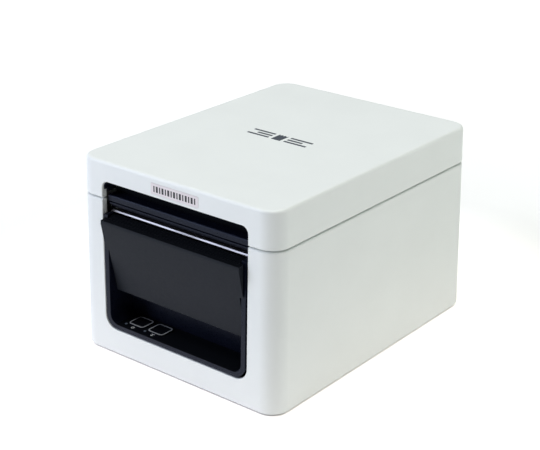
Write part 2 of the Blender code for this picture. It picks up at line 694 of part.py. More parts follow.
def platen():
    """Rubber feed roller on its steel shaft, with its gear on the left end."""
    mesh = rod_mesh("platen_shaft", PLATEN_SHAFT_R, width(PLATEN_SHAFT_X), "X", 20)
    add_part("platen_shaft", mesh, "steel", at(middle(PLATEN_SHAFT_X), *PLATEN))
    sleeve = [circle((0.0, 0.0), PLATEN_R, 32), circle((0.0, 0.0), PLATEN_SHAFT_R + RUN)]
    mesh = prism_mesh("platen_roller", sleeve, 2 * PLATEN_HALF_L, "X")
    add_part("platen_roller", mesh, "rubber", at(0.0, *PLATEN))
    add_gear("platen_gear", PLATEN_TEETH, -math.pi / 2, PLATEN, PLATEN_SHAFT_R)


def add_gear(name, teeth, turn, centre, shaft_r):
    """A gear of the feed train on its shaft."""
    outlines = [gear_outline(teeth, turn), circle((0.0, 0.0), shaft_r + RUN)]
    mesh = prism_mesh(name, outlines, width(GEAR_X), "X")
    add_part(name, mesh, "gear_plastic", at(middle(GEAR_X), *centre))


IDLER_AXLE_R = 1.5 * MM
IDLER_AXLE_X = (-53.0 * MM, -42.4 * MM)
MOTOR_SHAFT_R = 1.0 * MM
MOTOR_X = (-42.6 * MM, -22.0 * MM)
MOTOR_SHAFT_X = (-53.0 * MM, -37.6 * MM)


def gear_train():
    """Motor pinion and idler that drive the platen's gear, and the feed motor."""
    idler_step = 2 * math.pi / IDLER_TEETH
    idler_turn = math.pi / 2 + idler_step / 2
    add_gear("idler_gear", IDLER_TEETH, idler_turn, IDLER, IDLER_AXLE_R)
    towards_pinion = -PINION_SLOPE
    teeth_past = (towards_pinion - idler_turn) / idler_step
    off_tooth = teeth_past - math.floor(teeth_past)
    pinion_step = 2 * math.pi / PINION_TEETH
    pinion_turn = towards_pinion + math.pi + (off_tooth + 0.5) * pinion_step
    add_gear("feed_pinion", PINION_TEETH, pinion_turn, PINION, MOTOR_SHAFT_R)
    mesh = rod_mesh("idler_axle", IDLER_AXLE_R, width(IDLER_AXLE_X), "X", 16)
    add_part("idler_axle", mesh, "steel", at(middle(IDLER_AXLE_X), *IDLER))
    mesh = rod_mesh("feed_motor", MOTOR_R, width(MOTOR_X), "X", 32)
    motor = add_part("feed_motor", mesh, "dark_steel", at(middle(MOTOR_X), *PINION))
    bore = rod_mesh("feed_motor_bore", MOTOR_SHAFT_R + RUN, MOTOR_BORE_L, "X", 12)
    cut(motor, add_cutter("feed_motor_bore", bore, at(MOTOR_X[0], *PINION)))
    mesh = rod_mesh("feed_motor_shaft", MOTOR_SHAFT_R, width(MOTOR_SHAFT_X), "X", 12)
    add_part("feed_motor_shaft", mesh, "steel", at(middle(MOTOR_SHAFT_X), *PINION))


FRAME_DEPTH = (17.4 * MM, 50.0 * MM)
FRAME_FLOOR_H = (18.1 * MM, 19.3 * MM)
FRAME_FRONT_H = (18.6 * MM, 58.0 * MM)
FRAME_BACK_H = (18.6 * MM, 40.0 * MM)
NOTCH_TOP_H = 82.4 * MM
NOTCH_FRONT_DEPTH = 19.3 * MM
SHAFT_HOLE_R = 1.6 * MM
SIDE_PLATE = ((17.4, 18.0), (50.0, 18.0), (50.0, 62.0), (38.0, 76.0), (30.0, 79.0), (28.7, 82.4))
SPRING_SEAT_H = (59.4 * MM, 60.6 * MM)
SPRING_SEAT_DEPTH = (17.8 * MM, 25.0 * MM)


def mechanism_frame():
    """Folded steel frame with notches that take the platen's bearings from above."""
    notch_r = BEARING_R + 0.35 * MM
    outline = [(depth * MM, height * MM) for depth, height in SIDE_PLATE]
    outline += arc(PLATEN, notch_r, 0, -180, 10)
    outline += [(NOTCH_FRONT_DEPTH, NOTCH_TOP_H), (FRAME_DEPTH[0], NOTCH_TOP_H)]
    holes = [circle(PINION, SHAFT_HOLE_R, 12), circle(IDLER, IDLER_AXLE_R + RUN, 16),
             circle(HEAD_PIVOT, HEAD_SHAFT_R + RUN, 16)]
    thick = width(SIDE_PLATE_X)
    mesh = prism_mesh("mechanism_frame", [outline, *holes], thick, "X")
    frame = add_part("mechanism_frame", mesh, "steel", at(-middle(SIDE_PLATE_X), 0.0, 0.0))
    mesh = prism_mesh("frame_right_side", [outline, *holes], thick, "X")
    join(frame, add_cutter("frame_right_side", mesh, at(middle(SIDE_PLATE_X), 0.0, 0.0)))
    reach = middle(SIDE_PLATE_X)
    inset = 0.1 * MM
    front = (FRAME_DEPTH[0] + inset, FRAME_DEPTH[0] + thick)
    back = (FRAME_DEPTH[1] - thick, FRAME_DEPTH[1] - inset)
    sheets = {
        "frame_floor": (FRAME_DEPTH[0] + 2 * inset, FRAME_DEPTH[1] - 2 * inset, *FRAME_FLOOR_H),
        "frame_front": (*front, *FRAME_FRONT_H),
        "frame_back": (*back, *FRAME_BACK_H),
        "frame_spring_seat": (*SPRING_SEAT_DEPTH, *SPRING_SEAT_H),
    }
    for name, (near, far, low, high) in sheets.items():
        mesh, where = span_box(name, (-reach, reach), (near, far), (low, high))
        join(frame, add_cutter(name, mesh, where))
    bore = rod_mesh("cutter_shaft_hole", SHAFT_HOLE_R, 5 * thick, "Y", 12)
    cut(frame, add_cutter("cutter_shaft_hole", bore, at(CUTTER_X, FRAME_DEPTH[0], CUTTER_H)))


HEAD_SHAFT_R = 1.2 * MM
HEAD_HALF_W = 40.2 * MM
HEAD_DEPTH = (15.2 * MM, 33.0 * MM)
HEAD_H = (74.3 * MM, 75.2 * MM)
SINK_PROFILE = ((16.0, 69.0), (39.0, 69.0), (39.0, 73.95), (16.0, 73.95))
SPRING_XS = {"head_spring_left": -28.0 * MM, "head_spring_right": 28.0 * MM}
SPRING_R = 2.4 * MM
SPRING_WIRE_R = 0.35 * MM
SPRING_H = (61.3 * MM, 68.3 * MM)
SPRING_TURNS = 4


def print_head():
    """Thermal head on its heat sink, tilting on a shaft and pushed up by two springs."""
    half_w = HEAD_HALF_W
    mesh, where = span_box("thermal_head", (-half_w, half_w), HEAD_DEPTH, HEAD_H)
    add_part("thermal_head", mesh, "ceramic", where)
    sink_outline = shifted(SINK_PROFILE, HEAD_PIVOT)
    bore = circle((0.0, 0.0), HEAD_SHAFT_R + RUN, 16)
    mesh = prism_mesh("heat_sink", [sink_outline, bore], 2 * half_w, "X")
    add_part("heat_sink", mesh, "aluminium", at(0.0, *HEAD_PIVOT))
    mesh = rod_mesh("head_pivot_shaft", HEAD_SHAFT_R, 2 * SIDE_PLATE_X[1] + 1 * MM, "X", 16)
    add_part("head_pivot_shaft", mesh, "steel", at(0.0, *HEAD_PIVOT))
    for name, x in SPRING_XS.items():
        mesh = coil_mesh(name, SPRING_R, width(SPRING_H), SPRING_TURNS)
        add_part(name, mesh, "steel", at(x, middle(SPRING_SEAT_DEPTH), SPRING_H[0]))


def coil_mesh(name, radius, length, turns):
    """An open coil spring around the Z axis, standing on its own origin."""
    per_turn = 12
    count = turns * per_turn + 1
    curve = bpy.data.curves.new(name, "CURVE")
    curve.dimensions = "3D"
    curve.bevel_depth = SPRING_WIRE_R
    curve.bevel_resolution = 1
    curve.use_fill_caps = True
    spline = curve.splines.new("POLY")
    spline.points.add(count - 1)
    for index, point in enumerate(spline.points):
        angle = 2 * math.pi * index / per_turn
        height = length * index / (count - 1)
        point.co = (radius * math.cos(angle), radius * math.sin(angle), height, 1.0)
    holder = bpy.data.objects.new(name, curve)
    bpy.context.scene.collection.objects.link(holder)
    graph = bpy.context.evaluated_depsgraph_get()
    mesh = bpy.data.meshes.new_from_object(holder.evaluated_get(graph))
    bpy.data.objects.remove(holder)
    bpy.data.curves.remove(curve)
    shape = bmesh.new()
    shape.from_mesh(mesh)
    bpy.data.meshes.remove(mesh)
    bmesh.ops.remove_doubles(shape, verts=shape.verts, dist=0.000001)
    return mesh_from(shape, name)


RIBBON_HALF_W = 20.0 * MM
RIBBON_THICK = 0.35 * MM
RIBBON_BEND_R = 6.0 * MM
RIBBON_START = (33.6 * MM, 74.9 * MM)
RIBBON_DROP_DEPTH = 54.0 * MM
RIBBON_END = (66.0 * MM, 9.2 * MM)


def ribbon_side(offset):
    """One side of the ribbon's path, offset from its middle line."""
    turn = RIBBON_BEND_R
    upper = (RIBBON_DROP_DEPTH - turn, RIBBON_START[1] - turn)
    lower = (RIBBON_DROP_DEPTH + turn, RIBBON_END[1] + turn)
    side = [(RIBBON_START[0], RIBBON_START[1] + offset)]
    side += arc(upper, turn + offset, 90, 0, 6)
    side += arc(lower, turn - offset, 180, 270, 6)
    side.append((RIBBON_END[0], RIBBON_END[1] + offset))
    return side


def head_ribbon():
    """Flat cable from the thermal head down to the main board."""
    half = RIBBON_THICK / 2
    outline = ribbon_side(half) + ribbon_side(-half)[::-1]
    mesh = prism_mesh("head_ribbon", [outline], 2 * RIBBON_HALF_W, "X")
    add_part("head_ribbon", mesh, "label_white", at(0.0, 0.0, 0.0))


RACK_H = (41.5 * MM, 66.0 * MM)
RACK_LEG_W = 4.5 * MM
BLADE_HALF_W = 40.0 * MM
BLADE_TIP_H = 74.8 * MM
BLADE_MIDDLE_H = 72.4 * MM
CUTTER_GEAR_DEPTH = (11.5 * MM, 13.5 * MM)
CUTTER_MOTOR_DEPTH = (19.0 * MM, 40.0 * MM)
CUTTER_SHAFT_DEPTH = (11.2 * MM, 24.0 * MM)
MOTOR_BORE_L = 12.0 * MM


def cutter():
    """Rising blade with a rack, its pinion, and the cutter motor."""
    pitch = math.pi * GEAR_MODULE
    pitch_x = CUTTER_X - GEAR_MODULE * PINION_TEETH / 2
    root_x = pitch_x - TOOTH_DROP
    tip_x = pitch_x + TOOTH_RISE
    leg_x = root_x - RACK_LEG_W
    outline = [(leg_x, RACK_H[0]), (root_x, RACK_H[0])]
    tooth_h = CUTTER_H + pitch / 2 - 3 * pitch
    while tooth_h < RACK_H[1] - 3 * MM:
        outline += [(root_x, tooth_h - ROOT_SHARE * pitch), (tip_x, tooth_h - TIP_SHARE * pitch)]
        outline += [(tip_x, tooth_h + TIP_SHARE * pitch), (root_x, tooth_h + ROOT_SHARE * pitch)]
        tooth_h += pitch
    outline += [(root_x, RACK_H[1]), (BLADE_HALF_W, RACK_H[1]), (BLADE_HALF_W, BLADE_TIP_H)]
    outline += [(0.0, BLADE_MIDDLE_H), (-BLADE_HALF_W, BLADE_TIP_H), (-BLADE_HALF_W, RACK_H[1])]
    outline += [(leg_x, RACK_H[1])]
    mesh = prism_mesh("moving_blade", [outline], width(BLADE_DEPTH), "Y")
    add_part("moving_blade", mesh, "steel", at(0.0, middle(BLADE_DEPTH), 0.0))
    pinion = [gear_outline(PINION_TEETH, math.pi), circle((0.0, 0.0), MOTOR_SHAFT_R + RUN, 16)]
    mesh = prism_mesh("cutter_pinion", pinion, width(CUTTER_GEAR_DEPTH), "Y")
    add_part("cutter_pinion", mesh, "gear_plastic", at(CUTTER_X, middle(CUTTER_GEAR_DEPTH), CUTTER_H))
    mesh = rod_mesh("cutter_motor", CUTTER_MOTOR_R, width(CUTTER_MOTOR_DEPTH), "Y")
    motor = add_part("cutter_motor", mesh, "dark_steel", at(CUTTER_X, middle(CUTTER_MOTOR_DEPTH), CUTTER_H))
    bore = rod_mesh("cutter_motor_bore", MOTOR_SHAFT_R + RUN, MOTOR_BORE_L, "Y", 12)
    cut(motor, add_cutter("cutter_motor_bore", bore, at(CUTTER_X, CUTTER_MOTOR_DEPTH[0], CUTTER_H)))
    mesh = rod_mesh("cutter_motor_shaft", MOTOR_SHAFT_R, width(CUTTER_SHAFT_DEPTH), "Y", 12)
    add_part("cutter_motor_shaft", mesh, "steel", at(CUTTER_X, middle(CUTTER_SHAFT_DEPTH), CUTTER_H))


def bucket_outline(radius, top):
    """Half round floor with upright ends, as (depth, height) points."""
    outline = arc(ROLL_CENTRE, radius, 180, 360, 24)
    outline += [(ROLL_CENTRE[0] + radius, top), (ROLL_CENTRE[0] - radius, top)]
    return outline


def paper_bucket():
    """Trough that holds the paper roll, open at the top."""
    half_w = BUCKET_HALF_W + BUCKET_WALL
    outer = bucket_outline(BUCKET_R + BUCKET_WALL, BUCKET_TOP)
    mesh = prism_mesh("paper_bucket", [outer], 2 * half_w, "X")
    bucket = add_part("paper_bucket", mesh, "black_plastic", at(0.0, 0.0, 0.0))
    inner = bucket_outline(BUCKET_R, BUCKET_TOP + 8 * MM)
    mesh = prism_mesh("bucket_hollow", [inner], 2 * BUCKET_HALF_W, "X")
    cut(bucket, add_cutter("bucket_hollow", mesh, at(0.0, 0.0, 0.0)))


def electronics():
    """Main board, the four rear sockets and the dark plate around them."""
    mesh, where = span_box("main_board", (-BOARD_HALF_W, BOARD_HALF_W), BOARD_DEPTH, BOARD_H)
    add_part("main_board", mesh, "board_green", where)
    mesh, where = span_box("rear_panel", (-PANEL_HALF_W, PANEL_HALF_W), PANEL_DEPTH, PANEL_H)
    panel = add_part("rear_panel", mesh, "black_plastic", where)
    low = BOARD_H[1] + SOCKET_LIFT
    for name, (x, wide, high) in SOCKETS.items():
        xs = (x - wide / 2, x + wide / 2)
        heights = (low, low + high)
        mesh, where = span_box(name, xs, SOCKET_DEPTH, heights)
        socket = add_part(name, mesh, "dark_steel" if name == "usb_socket" else "black_plastic", where)
        hollow_xs = (xs[0] + SOCKET_WALL, xs[1] - SOCKET_WALL)
        hollow_h = (heights[0] + SOCKET_WALL, heights[1] - SOCKET_WALL)
        hollow_depth = (SOCKET_DEPTH[1] - SOCKET_HOLLOW, SOCKET_DEPTH[1] + 5 * MM)
        mesh, where = span_box(f"{name}_hollow", hollow_xs, hollow_depth, hollow_h)
        cut(socket, add_cutter(f"{name}_hollow", mesh, where))
        room_xs = (xs[0] - SOCKET_ROOM, xs[1] + SOCKET_ROOM)
        room_h = (heights[0] - SOCKET_ROOM, heights[1] + SOCKET_ROOM)
        mesh, where = span_box(f"{name}_room", room_xs, THROUGH_REAR, room_h)
        cut(panel, add_cutter(f"{name}_room", mesh, where))


def main():
    """Build every piece in an empty scene."""
    for item in list(bpy.data.objects):
        bpy.data.objects.remove(item, do_unlink=True)
    scene = bpy.context.scene
    scene.collection.children.link(PARTS)
    scene.collection.children.link(CUTTERS)
    opening = opening_cutter()
    lower_case(opening)
    lid_shell(opening)
    label_plate()
    hinge_pins()
    base_plate()
    feet_and_screws()
    front_bezel()
    buttons_and_lights()
    tear_bar()
    cover_lever()
    latch_hooks()
    lid_pieces()
    platen()
    gear_train()
    mechanism_frame()
    print_head()
    head_ribbon()
    cutter()
    paper_bucket()
    electronics()


main()
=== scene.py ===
"""Looks of the desktop receipt printer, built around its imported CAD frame.

Metres in the frame's own axes: +X to the right as seen from the front, the front faces -Y and +Z is
up. Depths are measured back from the top front edge of the case, heights up from its lower edge.
"""
import json
import math

import bmesh
import bpy
from mathutils import Matrix, Vector

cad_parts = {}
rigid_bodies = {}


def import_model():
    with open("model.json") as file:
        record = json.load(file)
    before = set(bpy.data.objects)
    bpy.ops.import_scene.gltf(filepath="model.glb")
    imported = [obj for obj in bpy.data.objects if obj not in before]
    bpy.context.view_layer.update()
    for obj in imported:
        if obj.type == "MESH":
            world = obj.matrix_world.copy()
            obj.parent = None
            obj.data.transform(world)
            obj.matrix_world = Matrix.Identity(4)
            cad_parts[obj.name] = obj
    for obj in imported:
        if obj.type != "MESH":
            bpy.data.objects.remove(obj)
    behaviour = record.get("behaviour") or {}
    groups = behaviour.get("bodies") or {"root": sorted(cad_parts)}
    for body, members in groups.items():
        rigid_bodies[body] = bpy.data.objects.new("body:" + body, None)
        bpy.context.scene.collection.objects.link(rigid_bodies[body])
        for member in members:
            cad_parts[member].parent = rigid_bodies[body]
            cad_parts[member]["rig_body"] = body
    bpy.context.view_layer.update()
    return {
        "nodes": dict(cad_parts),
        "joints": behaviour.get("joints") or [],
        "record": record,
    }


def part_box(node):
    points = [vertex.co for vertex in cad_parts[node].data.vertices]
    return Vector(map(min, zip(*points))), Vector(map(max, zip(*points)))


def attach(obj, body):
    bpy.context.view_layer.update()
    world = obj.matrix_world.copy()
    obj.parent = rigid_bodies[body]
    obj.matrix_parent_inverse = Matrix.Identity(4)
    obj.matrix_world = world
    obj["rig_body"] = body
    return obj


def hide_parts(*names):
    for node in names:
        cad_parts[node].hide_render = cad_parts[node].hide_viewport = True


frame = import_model()

MM = 0.001
SLOT_OF = {part["node"]: part["material_slot"] for part in frame["record"]["subparts"]}
JOINTS = {joint["name"]: joint for joint in frame["joints"]}

# The case, as the frame gives it, and what its outline needs besides. DRAFT is the run of each wall
# for each unit of height, and the parting line lies a little below the hinge axis.
CASE_LO, CASE_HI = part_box("lower_case")
HINGE = Vector(JOINTS["lid_hinge"]["pos_m"])
DRAFT = 0.0167
BASE_Z = CASE_LO.z
CASE_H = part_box("lid_shell")[1].z - BASE_Z
CASE_W = 2 * (CASE_HI.x - DRAFT * CASE_H)
CASE_D = 165.0 * MM
FRONT_Y = CASE_LO.y + DRAFT * CASE_H
WALL = 3.0 * MM
CORNER_R = 10.0 * MM
TOP_EDGE_R = 1.7 * MM
PARTING_DROP = 0.45 * MM
PARTING_H = HINGE.z - BASE_Z - PARTING_DROP
PARTING_GAP = 0.7 * MM
LOWER_TOP = PARTING_H - PARTING_GAP / 2
LID_LOW = PARTING_H + PARTING_GAP / 2

# Thickness of printed marks, and how far the buttons stand over the floor of the recess
PRINT_T = 0.04 * MM
BUTTON_RISE = 0.6 * MM

# Front opening
OPENING_HALF_W = 46.8 * MM
OPENING_LOW = 13.3 * MM
OPENING_HIGH = 92.65 * MM
OPENING_LOW_R = 7.0 * MM
OPENING_HIGH_R = 3.7 * MM

# Corners of the label and of its recess
LABEL_CORNER_R = 0.6 * MM

# Steps round the case's corners and its edges
CORNER_STEPS = 14
EDGE_STEPS = 4

# Bevels: steps across one, and the least turn of an edge that gets one, in degrees
BEVEL_STEPS = 2
BEVEL_FROM = 38

# Edges that turn by more than this stay sharp in the shading, in degrees
SHARP_FROM = 32


def at(x, depth, height):
    """A point in the frame from its X, its depth behind the front edge and its height."""
    return Vector((x, FRONT_Y + depth, BASE_Z + height))


def flare(height):
    """How far each wall stands outside the top outline at a height."""
    return DRAFT * (CASE_H - height)


def span(node):
    """A node's box as three spans: X, depth and height."""
    low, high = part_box(node)
    depths = (low.y - FRONT_Y, high.y - FRONT_Y)
    heights = (low.z - BASE_Z, high.z - BASE_Z)
    return (low.x, high.x), depths, heights


def middle(pair):
    """Middle of a span."""
    return (pair[0] + pair[1]) / 2


def around(centre, size):
    """A span of a given size about its centre."""
    return centre - size / 2, centre + size / 2


def recess_floor():
    """Height of the recess's floor, on which the buttons stand."""
    return span("feed_button")[2][1] - BUTTON_RISE


# ---------------------------------------------------------------- outlines


def arc(centre, radius, start, end, steps):
    """Points along an arc, angles in degrees."""
    points = []
    for step in range(steps + 1):
        angle = math.radians(start + (end - start) * step / steps)
        points.append((centre[0] + radius * math.cos(angle),
                       centre[1] + radius * math.sin(angle)))
    return points


def circle(centre, radius, sides):
    return arc(centre, radius, 0, 360 * (sides - 1) / sides, sides - 1)


def rounded(low, high, low_r, high_r, steps):
    """A rectangle with one radius on its two lower corners and another on its two upper ones."""
    points = arc((low[0] + low_r, low[1] + low_r), low_r, 180, 270, steps)
    points += arc((high[0] - low_r, low[1] + low_r), low_r, 270, 360, steps)
    points += arc((high[0] - high_r, high[1] - high_r), high_r, 0, 90, steps)
    points += arc((low[0] + high_r, high[1] - high_r), high_r, 90, 180, steps)
    return points


# ---------------------------------------------------------------- meshes


def new_object(name, mesh):
    made = bpy.data.objects.new(name, mesh)
    bpy.context.scene.collection.objects.link(made)
    return made


def from_bmesh(name, shape):
    """Finish a bmesh as an object with outward faces."""
    bmesh.ops.recalc_face_normals(shape, faces=shape.faces)
    mesh = bpy.data.meshes.new(name)
    shape.to_mesh(mesh)
    shape.free()
    return new_object(name, mesh)


def skin(shape, rings, closed=False):
    """Add a skin through rings of equal length, with flat ends or joined end to end."""
    loops = [[shape.verts.new(point) for point in ring] for ring in rings]
    pairs = list(zip(loops, loops[1:]))
    if closed:
        pairs.append((loops[-1], loops[0]))
    for near, far in pairs:
        count = len(near)
        for index in range(count):
            after = (index + 1) % count
            shape.faces.new((near[index], near[after], far[after], far[index]))
    if not closed:
        shape.faces.new(loops[0])
        shape.faces.new(loops[-1][::-1])


def loft(name, rings, closed=False):
    """A piece made of one skin."""
    shape = bmesh.new()
    skin(shape, rings, closed)
    return from_bmesh(name, shape)


def slabs(name, outlines, thickness):
    """Flat outlines given the same thickness, as one piece."""
    shape = bmesh.new()
    for outline in outlines:
        skin(shape, [outline, [point + thickness for point in outline]])
    return from_bmesh(name, shape)


def place(axis, along, across, up):
    """A point from its place along an axis and its two other coordinates."""
    if axis == "X":
        return at(along, across, up)
    if axis == "Y":
        return at(across, along, up)
    return at(across, up, along)


def prism(name, outline, ends, axis):
    """A flat outline between two planes square to an axis.

    Its points are (depth, height) for axis X, (X, height) for Y and (X, depth) for Z.
    """
    return loft(name, [[place(axis, end, *point) for point in outline] for end in ends])


def turned(name, profile, centre, axis, sides=48):
    """A profile of (radius, distance along the axis) pairs turned about an axis, with flat ends."""
    rings = []
    for radius, along in profile:
        ring = []
        for across, up in circle((0.0, 0.0), radius, sides):
            offsets = {
                "X": (along, across, up),
                "Y": (across, along, up),
                "Z": (across, up, along),
            }
            ring.append(centre + Vector(offsets[axis]))
        rings.append(ring)
    return loft(name, rings)


def box_piece(name, xs, depths, heights):
    near, far = depths
    outline = [(xs[0], near), (xs[1], near), (xs[1], far), (xs[0], far)]
    return prism(name, outline, heights, "Z")


def settle(piece):
    """Turn a piece's modifiers into plain mesh."""
    graph = bpy.context.evaluated_depsgraph_get()
    made = bpy.data.meshes.new_from_object(piece.evaluated_get(graph))
    old = piece.data
    piece.modifiers.clear()
    piece.data = made
    bpy.data.meshes.remove(old)
    return piece


def carve(piece, *tools, how="DIFFERENCE"):
    """Cut tools out of a piece, or join them to it, and remove the tools."""
    for tool in tools:
        step = piece.modifiers.new(tool.name, "BOOLEAN")
        step.operation = how
        step.solver = "EXACT"
        step.object = tool
    settle(piece)
    for tool in tools:
        mesh = tool.data
        bpy.data.objects.remove(tool)
        bpy.data.meshes.remove(mesh)
    return piece


def soften(piece, width):
    """Round the edges that turn by more than BEVEL_FROM."""
    step = piece.modifiers.new("edges", "BEVEL")
    step.width = width
    step.segments = BEVEL_STEPS
    step.limit_method = "ANGLE"
    step.angle_limit = math.radians(BEVEL_FROM)
    step.use_clamp_overlap = True
    return settle(piece)


def copy_of(node, name):
    """A node's mesh as a new object, with its flat faces whole again."""
    same_point = 0.000001
    flat = math.radians(0.8)
    shape = bmesh.new()
    shape.from_mesh(frame["nodes"][node].data)
    bmesh.ops.remove_doubles(shape, verts=shape.verts, dist=same_point)
    bmesh.ops.dissolve_limit(shape, angle_limit=flat, verts=shape.verts, edges=shape.edges)
    mesh = bpy.data.meshes.new(name)
    shape.to_mesh(mesh)
    shape.free()
    for leftover in ("custom_normal", "sharp_face", "sharp_edge"):
        if leftover in mesh.attributes:
            mesh.attributes.remove(mesh.attributes[leftover])
    return new_object(name, mesh)


def dress(piece, finish, node, stands_in=True):
    """Give a piece its finish and shading, and let it ride on a node's body in the node's place."""
    piece.data.materials.clear()
    piece.data.materials.append(finish)
    piece.data.shade_smooth()
    piece.data.set_sharp_from_angle(angle=math.radians(SHARP_FROM))
    even = piece.modifiers.new("even_shading", "WEIGHTED_NORMAL")
    even.keep_sharp = True
    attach(piece, frame["nodes"][node]["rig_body"])
    if stands_in:
        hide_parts(node)
    return piece


def trim(piece, finish, node):
    """A small extra on a node's body, which stands for no node of its own."""
    return dress(piece, finish, node, stands_in=False)


def accent(piece, finish, chosen):
    """A second finish on the faces whose centres pass a test of depth and height."""
    piece.data.materials.append(finish)
    for face in piece.data.polygons:
        if chosen(face.center.y - FRONT_Y, face.center.z - BASE_Z):
            face.material_index = 1


def refined(node, finish, width):
    """A node with its edges broken, shown in place of the plain one."""
    piece = copy_of(node, f"{node}_finished")
    soften(piece, width)
    return dress(piece, finish, node)


# ---------------------------------------------------------------- materials


class Finish:
    """A material under construction: its node tree and a few short ways to add nodes."""

    def __init__(self, name, roughness, metallic=0.0):
        self.material = bpy.data.materials.new(name)
        self.material.use_nodes = True
        self.tree = self.material.node_tree
        self.shader = self.tree.nodes["Principled BSDF"]
        self.shader.inputs["Roughness"].default_value = roughness
        self.shader.inputs["Metallic"].default_value = metallic
        self.where = self.tree.nodes.new("ShaderNodeTexCoord").outputs["Object"]

    def node(self, kind, settings=(), **inputs):
        """A node with its settings, and with its inputs set to values or linked to sockets."""
        made = self.tree.nodes.new(kind)
        for field, value in settings:
            setattr(made, field, value)
        for field, value in inputs.items():
            socket = made.inputs[field.replace("_", " ")]
            if isinstance(value, bpy.types.NodeSocket):
                self.tree.links.new(value, socket)
            else:
                socket.default_value = value
        return made

    def stretched(self, scale):
        """Object coordinates scaled by a factor along each axis."""
        return self.node("ShaderNodeMapping", Vector=self.where, Scale=scale).outputs["Vector"]

    def noise(self, scale, detail, roughness=0.55, where=None):
        made = self.node("ShaderNodeTexNoise", Vector=where or self.where, Scale=scale,
                         Detail=detail, Roughness=roughness)
        return made.outputs["Fac"]

    def between(self, share, low, high, start=0.3, end=0.7, smooth=False):
        """Maps a share from start..end to low..high."""
        made = self.tree.nodes.new("ShaderNodeMapRange")
        made.interpolation_type = "SMOOTHSTEP" if smooth else "LINEAR"
        values = (("From Min", start), ("From Max", end), ("To Min", low), ("To Max", high))
        for field, value in values:
            made.inputs[field].default_value = value
        self.tree.links.new(share, made.inputs["Value"])
        return made.outputs["Result"]

    def blend(self, share, first, second):
        """A colour between two colours, each given as numbers or as a socket."""
        made = self.tree.nodes.new("ShaderNodeMix")
        made.data_type = "RGBA"
        self.tree.links.new(share, made.inputs["Factor"])
        for index, colour in ((6, first), (7, second)):
            if isinstance(colour, bpy.types.NodeSocket):
                self.tree.links.new(colour, made.inputs[index])
            else:
                made.inputs[index].default_value = (*colour, 1.0)
        return made.outputs[2]

    def add(self, first, second, weight):
        """The first value with a share of the second one on top."""
        made = self.tree.nodes.new("ShaderNodeMath")
        made.operation = "MULTIPLY_ADD"
        self.tree.links.new(second, made.inputs[0])
        made.inputs[1].default_value = weight
        self.tree.links.new(first, made.inputs[2])
        return made.outputs["Value"]

    def colour(self, socket):
        self.tree.links.new(socket, self.shader.inputs["Base Color"])

    def roughen(self, socket):
        self.tree.links.new(socket, self.shader.inputs["Roughness"])

    def bump(self, height, strength, distance):
        made = self.node("ShaderNodeBump", Height=height, Strength=strength, Distance=distance)
        self.tree.links.new(made.outputs["Normal"], self.shader.inputs["Normal"])


def shade(colour, factor):
    return tuple(channel * factor for channel in colour)


def moulded(name, colour, roughness, grain, depth, spread, specular=0.5, tint=(1.0, 1.0, 1.0)):
    """Moulded plastic with an eroded grain, faint flow marks and slightly uneven gloss."""
    look = Finish(name, roughness)
    fine = look.noise(grain, 2.0, 0.6)
    coarse = look.noise(grain / 3, 2.0, 0.5)
    broad = look.noise(35.0, 3.0, 0.5)
    flow = look.between(broad, 0.0, 1.0)
    look.colour(look.blend(flow, shade(colour, 1 - spread), shade(colour, 1 + spread)))
    wear = look.add(fine, coarse, 0.5)
    look.roughen(look.between(wear, roughness - 0.05, roughness + 0.06, 0.5, 1.0))
    look.bump(look.add(fine, coarse, 0.8), 0.35, depth)
    look.shader.inputs["Specular IOR Level"].default_value = specular
    look.shader.inputs["Specular Tint"].default_value = (*tint, 1.0)
    return look.material


def brushed(name, colour, roughness, stretch, depth=0.004 * MM):
    """Rolled or brushed metal: fine lines along one axis and a light haze."""
    look = Finish(name, roughness, 1.0)
    lines = look.noise(1.0, 4.0, 0.7, look.stretched(stretch))
    haze = look.between(look.noise(120.0, 3.0), 0.0, 1.0)
    look.colour(look.blend(haze, shade(colour, 0.9), shade(colour, 1.06)))
    look.roughen(look.between(lines, roughness * 0.75, roughness * 1.3))
    look.bump(lines, 0.3, depth)
    return look.material


def rubber(name, colour, grain):
    """Matt rubber with a fine speckle and a little pale dust."""
    look = Finish(name, 0.75)
    speckle = look.noise(grain, 4.0, 0.7)
    dust = look.noise(90.0, 4.0, 0.6)
    look.colour(look.blend(look.between(dust, 0.0, 1.0, 0.4, 0.8), colour, shade(colour, 2.1)))
    look.roughen(look.between(speckle, 0.66, 0.86))
    look.bump(speckle, 0.5, 0.03 * MM)
    return look.material


def circuit_board(name):
    """Green solder mask over fine parallel tracks, with tinned dots."""
    look = Finish(name, 0.38)
    tracks = look.node("ShaderNodeTexWave", (("bands_direction", "X"),), Vector=look.where,
                       Scale=180.0, Distortion=1.5, Detail=1.0).outputs["Fac"]
    pads = look.node("ShaderNodeTexVoronoi", Vector=look.where, Scale=260.0).outputs["Distance"]
    over_track = look.between(tracks, 0.0, 1.0, 0.45, 0.55)
    mask = look.blend(over_track, (0.012, 0.10, 0.045), (0.02, 0.17, 0.075))
    look.colour(look.blend(look.between(pads, 1.0, 0.0, 0.12, 0.16), mask, (0.55, 0.54, 0.50)))
    look.roughen(look.between(tracks, 0.30, 0.45))
    look.bump(tracks, 0.3, 0.02 * MM)
    return look.material


def flat_cable(name):
    """Pale flat cable with its conductors showing as fine stripes."""
    look = Finish(name, 0.42)
    stripes = look.node("ShaderNodeTexWave", (("bands_direction", "X"),), Vector=look.where,
                        Scale=320.0, Distortion=0.0).outputs["Fac"]
    look.colour(look.blend(stripes, (0.72, 0.72, 0.70), (0.86, 0.86, 0.84)))
    look.roughen(look.between(stripes, 0.36, 0.48))
    look.bump(stripes, 0.4, 0.03 * MM)
    return look.material


